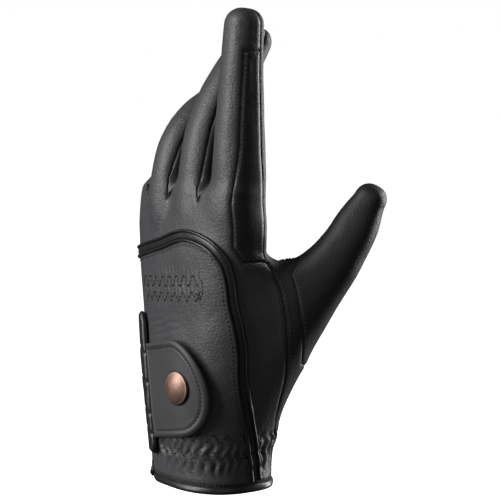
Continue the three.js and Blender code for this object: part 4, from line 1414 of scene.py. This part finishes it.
@dataclass
class Trim:
    """The band over the knuckles and down the back, with a piping along each edge."""

    width: float = 2.6
    thickness: float = 0.8
    piping: float = 1.45
    gap: float = 0.1
    stitch_away: float = 1.3
    crown: float = 0.12
    crown_steps: int = 8
    row_steps: int = 24
    lowest: float = 4.6
    first_column: float = 0.05
    step: float = 0.8

    def path(self) -> Path:
        """The middle of the band on the leather.

        Returns:
            The path, at even steps.
        """
        table = lengthened([(column, share * FORM.palm_length) for column, share in TRIM_LINE])
        spots = np.array([curve_between(table, i, t / self.row_steps)
                          for i in range(len(TRIM_LINE) - 1) for t in range(self.row_steps)])
        spots = spots[(spots[:, 1] > self.lowest) & (spots[:, 0] > self.first_column)]
        points = FORM.back_points(spots[:, 0], spots[:, 1])
        normals = FORM.outward(points)
        lifted = points + normals * RELIEF.height(points)[:, None]
        return Path(lifted, normals).even(self.step).softened(3)

    def build(self, shell: Shell) -> None:
        """Builds band, pipings and the row of stitches beside them.

        Args:
            shell: the leather that the stitches lie on.
        """
        path = self.path()
        half = self.width / 2
        count = self.crown_steps
        top = [(half - 2 * half * i / count,
                self.thickness + self.crown * math.cos((i / count - 0.5) * math.pi))
               for i in range(count + 1)]
        bm = bmesh.new()
        sweep(bm, np.array([(-half, 0.05), (half, 0.05)] + top), path)
        finished(bm, "band_leather", TRIM_LEATHER, ["trim_band"])
        across = half + self.gap + self.piping / 2
        for name, place_across in (("trim_piping_outer", -across), ("trim_piping_inner", across)):
            bm = bmesh.new()
            sweep(bm, round_section(self.piping / 2, place_across, self.piping / 2), path)
            finished(bm, f"{name}_leather", TRIM_LEATHER, [name])
        row = Stitching("band_stitches", length=1.2, gap=0.7, width=0.6, height=0.5, up=0.08)
        beside = path.shifted(across + self.piping / 2 + self.stitch_away, 0)
        row.run(shell.laid(beside.at[4:-2]))
        row.build()


@dataclass
class ClosingTab:
    """The tab over the vent: a rolled rim, a row of stitches inside it and a lifted nose."""

    root: float = -12.5
    length: float = 41.0
    width: float = 43.0
    nose: float = 17.0
    thickness: float = 2.0
    lift: float = 2.2
    height: float = 41.9
    tilt: float = 12.0
    seat: float = 0.4
    edge_round: float = 1.0
    rim_crown: float = 0.3
    rim_at: float = 1.7
    stitch_in: float = 3.2
    second_row_in: float = 1.9
    first_stitch: float = 2.5
    side_steps: int = 60
    turn_steps: int = 90
    top_steps: int = 45
    nose_from: float = 0.2

    def surface(self, along: Array, across: Array, up: Array | float) -> Path:
        """Places over the cuff by distance along and across the tab and height over its underside.

        Args:
            along: distances from the root.
            across: distances up from the tab's middle line.
            up: heights over its underside.

        Returns:
            The places.
        """
        tilt = math.radians(self.tilt)
        at = FORM.cuff_points(self.root + along * math.cos(tilt) - across * math.sin(tilt),
                              self.height + along * math.sin(tilt) + across * math.cos(tilt))
        normal = FORM.outward(at)
        lift = self.seat + self.lift * ramp(along / self.length, 0.1, 0.75) + up
        return Path(at + normal * np.asarray(lift)[:, None], normal)

    def inset(self, along: Array, across: Array) -> Array:
        """Distance in from the outline, leaving out the root.

        Args:
            along: distances from the root.
            across: distances up from the tab's middle line.

        Returns:
            The distance at each place.
        """
        half = self.width / 2
        past = np.maximum(along - (self.length - self.nose), 0)
        k = np.sqrt((past / self.nose) ** 2 + (across / half) ** 2) + 1e-6
        slope = np.sqrt((past / self.nose ** 2) ** 2 + (across / half ** 2) ** 2) / k
        return np.where(past > 0, (1 - k) / np.maximum(slope, 1e-6), half - np.abs(across))

    def outline(self, inset: float, start: float, top_only: bool = False) -> tuple[Array, Array]:
        """A line at an even distance inside the edge, from the top of the root round the nose.

        Args:
            inset: the distance inside the edge.
            start: where it starts along the tab.
            top_only: whether it ends before the nose.

        Returns:
            Its distances along and across the tab.
        """
        half, straight = self.width / 2 - inset, self.length - self.nose
        top = [(a, half) for a in np.linspace(start, straight, self.side_steps)]
        if top_only:
            return np.array(top)[:self.top_steps].T
        turn = [(straight + (self.nose - inset) * math.sin(t), half * math.cos(t))
                for t in np.linspace(0, math.pi, self.turn_steps)]
        low = [(a, -half) for a in np.linspace(straight, start, self.side_steps)]
        return np.array(top + turn[1:-1] + low).T

    def plate(self) -> bmesh.types.BMesh:
        """The tab itself: a padded plate whose grid follows the rounded nose.

        Returns:
            Its mesh.
        """
        bm, x, y, is_under = double_grid(84, 72)
        share = np.sin(y * math.pi / 2)
        straight = self.length - self.nose
        nose_steps = 1 - self.nose_from
        nose = np.sin(np.clip(x - self.nose_from, 0, nose_steps) / nose_steps * math.pi / 2)
        start = np.clip((x + 1) / (1 + self.nose_from), 0, 1)
        along = np.where(x < self.nose_from, straight * start ** 1.15,
                         straight + self.nose * nose * np.sqrt(1 - share ** 2 / 2))
        across = share * np.sqrt(1 - nose ** 2 / 2) * self.width / 2
        inset = np.minimum(self.inset(along, across), along * 1.5)
        rounding = np.clip(inset / self.edge_round, 0, 1)
        curl = np.sqrt(np.clip(1 - (1 - rounding) ** 2, 0, 1)) * self.thickness / 2
        rim = self.rim_crown * bell(inset, self.rim_at, 0.85) * ramp(along, 0, 3)
        sunk = 0.45 * bell(inset, self.stitch_in, 0.45) + 0.22 * ramp(inset, 3, 5.5)
        over = self.thickness / 2 + curl + (rim - sunk) * ramp(inset, 0.2, 1.4)
        low = self.thickness / 2 - curl
        place(bm, self.surface(along, across, np.where(is_under, low, over)).at)
        close(bm)
        return bm

    def build(self) -> None:
        """Builds the tab and its stitches."""
        finished(self.plate(), "tab_leather", SMOOTH_LEATHER, ["strap_tab"])
        row = Stitching("tab_stitches", length=1.25, gap=0.6, width=0.55, slot=Slot.LEATHER)
        row.run(self.surface(*self.outline(self.stitch_in, self.first_stitch), self.thickness - 0.26))
        row.run(self.surface(*self.outline(self.second_row_in, self.first_stitch, top_only=True),
                             self.thickness + 0.34))
        row.build()


@dataclass
class VentFacing:
    """The folded strip over the root of the tab, tacked down in a few places."""

    tab: ClosingTab
    width: float = 8.0
    length: float = 64.0
    base: float = 13.0
    thickness: float = 3.0
    gap: float = 0.3
    tacks: tuple = (60.0, 47.0, 33.0, 24.0)
    tack_depth: float = 0.65
    tack_width: float = 0.75
    edge_share: float = 0.35
    swell: float = 0.14

    def build(self) -> None:
        """Builds the strip."""
        bm, x, y, is_under = double_grid(100, 16)
        u = (x + 1) / 2
        share = np.sin(y * math.pi / 2)
        to_end = np.minimum(u, 1 - u)
        end = np.sin(math.pi * np.minimum(0.5, to_end * self.length / self.width * 0.5 + 0.12))
        z = self.base + (1 - u) * self.length
        lean = math.tan(math.radians(self.tab.tilt))
        middle = self.tab.root - self.gap - self.width / 2 - (z - self.tab.height) * lean
        at = FORM.cuff_points(middle + share * self.width / 2 * end, z)
        normal = FORM.outward(at)
        crown = (1 - np.abs(share) ** 3.2) ** 0.45 * np.minimum(1, to_end * 34) ** 0.5
        tack = sum(bell(z + 2 * share, t, self.tack_width) for t in self.tacks)
        over = (self.thickness * (self.edge_share + (1 - self.edge_share) * crown)
                - self.tack_depth * tack * crown + self.swell * wander(at, 9, 41) * crown)
        up = np.where(is_under, self.edge_share * self.thickness * (1 - crown), over)
        place(bm, at + normal * (self.tab.seat + up)[:, None])
        close(bm)
        finished(bm, "vent_facing_leather", TRIM_LEATHER, ["vent_facing"])


@dataclass
class Snap:
    """The snap's cap: a low dome with a rolled edge, on a thin near-black ring that is painted shade round
    its rim.
    """

    tab: ClosingTab
    along: float = 26.7
    diameter: float = 14.7
    height: float = 2.6
    edge_height: float = 0.75
    dome_steps: int = 14
    sunk: float = 0.2

    def turned(self, profile: Sequence, at: Path) -> bmesh.types.BMesh:
        """A turned solid standing on the tab.

        Args:
            profile: radius and height of each corner, from axis to axis.
            at: one place with its outward direction.

        Returns:
            The solid's mesh.
        """
        bm = bmesh.new()
        verts = [bm.verts.new((r * MM, 0, h * MM)) for r, h in profile]
        edges = [bm.edges.new(pair) for pair in zip(verts[:-1], verts[1:])]
        bmesh.ops.spin(bm, geom=verts + edges, cent=(0, 0, 0), axis=(0, 0, 1), dvec=(0, 0, 0),
                       angle=2 * math.pi, steps=64, use_merge=True)
        close(bm, 0.005)
        turn = Vector(at.normal[0]).to_track_quat("Z", "Y").to_matrix().to_4x4()
        bmesh.ops.transform(bm, matrix=Matrix.Translation(Vector(at.at[0] * MM)) @ turn, verts=bm.verts)
        return bm

    def build(self) -> None:
        """Builds the cap and the near-black ring under it, painted shade round the cap's rim."""
        radius = self.diameter / 2
        seat = self.tab.surface(np.array([self.along]), np.array([0.0]), self.tab.thickness - self.sunk)
        crown = self.height - self.edge_height
        shares = [k / self.dome_steps for k in range(self.dome_steps + 1)]
        dome = [(radius * 0.93 * share, self.edge_height + crown * (1 - share ** 2.3)) for share in shares]
        edge = [(radius * 0.97, 0.72), (radius, 0.5), (radius, 0.3), (radius * 0.97, 0.1),
                (radius * 0.93, 0.0), (0, 0)]
        finished(self.turned(dome + edge, seat), "snap_cap_metal", COPPER, ["snap_cap"])
        # A near-black ring just wider than the cap: painted shade round the cap's rim, not a part of the
        # snap.
        shade_ring = [(0, 0.0), (radius + 0.35, 0.0), (radius + 0.45, 0.12), (radius + 0.3, 0.3), (0, 0.3)]
        finished(self.turned(shade_ring, seat), "snap_shade_ring", SHADE_RING_METAL)


@dataclass
class Elastic:
    """Zigzag rows that hold the elastic on the back of the hand and round the cuff.

    A row on the back is its first and last place across the hand, then the heights of its lower corners
    at both ends, then those of its upper corners.
    """

    pitch: float = 6.0
    upper_row: tuple = (-26, 22.5, (88, 93), (94, 98.5))
    lower_row: tuple = (-21, 24.5, (82, 86.4), (87, 91.5))
    turn: tuple = ((22.5, 98.5), (25.2, 95.5), (25.8, 91), (23.6, 87))
    bar: tuple = ((21.6, 90.5), (22.6, 87.2))
    bar_shifts: tuple = (0.0, 0.9, 1.8)
    cuff_rows: tuple = ((23.2, 27.6), (15.4, 19.6))
    cuff_reach: tuple = (-12, 52)
    cuff_step: float = 3.0

    def zigzag(self, start: float, end: float, low: tuple, high: tuple) -> Array:
        """Corners of a zigzag across the back.

        Args:
            start: first place across the hand.
            end: last place.
            low: heights of the lower corners at start and end.
            high: heights of the upper corners.

        Returns:
            Places on the plain form.
        """
        count = round((end - start) / self.pitch * 2)
        xs = np.linspace(start, end, count + 1)
        share = (xs - start) / (end - start)
        lower = low[0] + (low[1] - low[0]) * share
        upper = high[0] + (high[1] - high[0]) * share
        zs = np.where(np.arange(count + 1) % 2 == 0, lower, upper)
        return FORM.back_by_x(xs, zs)

    def build(self, shell: Shell) -> None:
        """Builds the rows.

        Args:
            shell: the leather that the stitches lie on.
        """
        rows = Stitching("elastic_stitches", width=0.62, height=0.5, up=0.08)
        rows.legs(shell, self.zigzag(*self.upper_row))
        rows.legs(shell, FORM.back_by_x(*np.transpose(self.turn)))
        rows.legs(shell, self.zigzag(*self.lower_row))
        across, heights = np.transpose(self.bar)
        for shift in self.bar_shifts:
            rows.legs(shell, FORM.back_by_x(across + shift, heights), 2)
        distances = np.arange(*self.cuff_reach, self.cuff_step)
        for low, high in self.cuff_rows:
            heights = np.where(np.arange(len(distances)) % 2 == 0, low, high)
            rows.legs(shell, FORM.cuff_points(distances, heights))
        rows.build()


@dataclass
class SeamStitches:
    """Fine stitches along the sewn seams and round the hem."""

    seams: Seams
    pairs: tuple = (("index_side_panel", "back_panel"), ("thumb", "palm_panel"), ("palm_panel", "back_panel"))
    beside: float = 1.1
    hem_heights: tuple = (3.3, 4.3)
    hem_reach: tuple = (-22, 70)
    hem_steps: int = 150

    def build(self, shell: Shell) -> None:
        """Builds the rows.

        Args:
            shell: the leather that the stitches lie on.
        """
        rows = Stitching("seam_stitches", length=1.1, gap=0.9, width=0.42, height=0.3, up=0.08,
                         finish=SEAM_THREAD)
        for own, other in self.pairs:
            line = self.seams.line(own, other)
            smooth = Path(line, FORM.outward(line)).even(1.0).softened(2)
            rows.run(shell.laid(smooth.shifted(self.beside, 0).at))
        rows.build()
        hem = Stitching("hem_stitches", length=1.3, gap=0.6, width=0.45, height=0.36)
        distances = np.linspace(*self.hem_reach, self.hem_steps)
        for height in self.hem_heights:
            points = FORM.cuff_points(distances, np.full(len(distances), height))
            hem.run(shell.laid(points, 2.5))
        hem.build()


# Camera, light and floor

@dataclass
class Studio:
    """Pale floor, soft lights and the camera at the photograph's angle.

    A light is its name, its direction by shares to the right, to the front and up, its distance, its width
    and height in metres and its power in watts.
    """

    azimuth: float = 56.0
    elevation: float = 6.0
    distance: float = 0.8
    target: tuple = (0.010, 0.015, 0.106)
    focal_px: float = 1760.0
    photo_px: float = 500.0
    sensor_mm: float = 36.0
    floor_drop: float = -0.09
    floor_size: float = 14.0
    sky_share: float = 0.09
    lights: tuple = (("key", (-1.0, 0.28, 0.42), 1.1, (0.6, 1.0), 21.0),
                     ("rim", (0.95, -0.55, 0.1), 0.9, (0.2, 0.9), 14.0),
                     ("fill", (0.2, 1.0, 0.5), 1.4, (0.9, 0.9), 1.4))

    def camera(self) -> None:
        """Places the camera."""
        az, el = math.radians(self.azimuth), math.radians(self.elevation)
        out = Vector((math.sin(az) * math.cos(el), -math.cos(az) * math.cos(el), math.sin(el)))
        data = bpy.data.cameras.new("camera")
        data.sensor_width = self.sensor_mm
        data.lens = self.sensor_mm * self.focal_px / self.photo_px
        data.clip_end = 50.0
        camera = bpy.data.objects.new("camera", data)
        camera.location = Vector(self.target) + self.distance * out
        camera.rotation_euler = (-out).to_track_quat("-Z", "Y").to_euler()
        bpy.context.scene.collection.objects.link(camera)
        bpy.context.scene.camera = camera

    def soft_light(self, name: str, toward: tuple, distance: float, size: tuple, power: float) -> None:
        """Adds one large soft light.

        Args:
            name: the light's name.
            toward: direction from the glove to the light.
            distance: its distance in metres.
            size: its width and height in metres.
            power: its power in watts.
        """
        data = bpy.data.lights.new(name, "AREA")
        data.shape = "RECTANGLE"
        data.size, data.size_y = size
        data.energy = power
        light = bpy.data.objects.new(name, data)
        direction = Vector(toward).normalized()
        light.location = Vector(self.target) + direction * distance
        light.rotation_euler = (-direction).to_track_quat("-Z", "Y").to_euler()
        light.visible_camera = False
        bpy.context.scene.collection.objects.link(light)

    def floor(self) -> None:
        """Lays the pale floor."""
        material, tree = blank_material("pale_floor")
        shader = add_node(tree, "ShaderNodeBsdfPrincipled",
                          {"Base Color": linear("#f2f2f2"), "Roughness": 0.9,
                           "Emission Color": linear("#ffffff"), "Emission Strength": 1.0})
        add_node(tree, "ShaderNodeOutputMaterial", {}, {"Surface": shader.outputs[0]})
        bm = bmesh.new()
        bmesh.ops.create_grid(bm, x_segments=1, y_segments=1, size=self.floor_size / 2,
                              matrix=Matrix.Translation((0, 0, self.floor_drop)))
        mesh = bpy.data.meshes.new("floor")
        bm.to_mesh(mesh)
        bm.free()
        mesh.materials.append(material)
        floor = bpy.data.objects.new("floor", mesh)
        bpy.context.scene.collection.objects.link(floor)
        floor.visible_diffuse = False
        floor.visible_glossy = False

    def sky(self) -> None:
        """Gives the white surround, with a dim share of it lighting the glove."""
        world = bpy.data.worlds.new("studio")
        bpy.context.scene.world = world
        world.use_nodes = True
        tree = world.node_tree
        tree.nodes.clear()
        path = add_node(tree, "ShaderNodeLightPath")
        dim = add_node(tree, "ShaderNodeBackground", {"Color": linear("#ffffff"), "Strength": self.sky_share})
        seen = add_node(tree, "ShaderNodeBackground", {"Color": linear("#ffffff"), "Strength": 1.0})
        both = add_node(tree, "ShaderNodeMixShader", {}, {0: path.outputs["Is Camera Ray"], 1: dim.outputs[0],
                                                          2: seen.outputs[0]})
        add_node(tree, "ShaderNodeOutputWorld", {}, {"Surface": both.outputs[0]})

    def build(self) -> None:
        """Sets up the whole studio."""
        self.camera()
        self.floor()
        self.sky()
        az = math.radians(self.azimuth)
        front = Vector((math.sin(az), -math.cos(az), 0))
        right = Vector((math.cos(az), math.sin(az), 0))
        up = Vector((0, 0, 1))
        for name, (x, y, z), distance, size, power in self.lights:
            self.soft_light(name, tuple(x * right + y * front + z * up), distance, size, power)
        bpy.context.scene.view_settings.view_transform = "Standard"
        bpy.context.scene.view_settings.look = "None"


def main() -> None:
    """Builds the glove piece by piece, then the studio."""
    logging.basicConfig(level=logging.INFO, format="%(name)s: %(message)s")
    shell = Shell()
    seams = shell.build()
    Trim().build(shell)
    tab = ClosingTab()
    tab.build()
    VentFacing(tab).build()
    Snap(tab).build()
    Elastic().build(shell)
    SeamStitches(seams).build(shell)
    Studio().build()


if __name__ == "__main__":
    main()
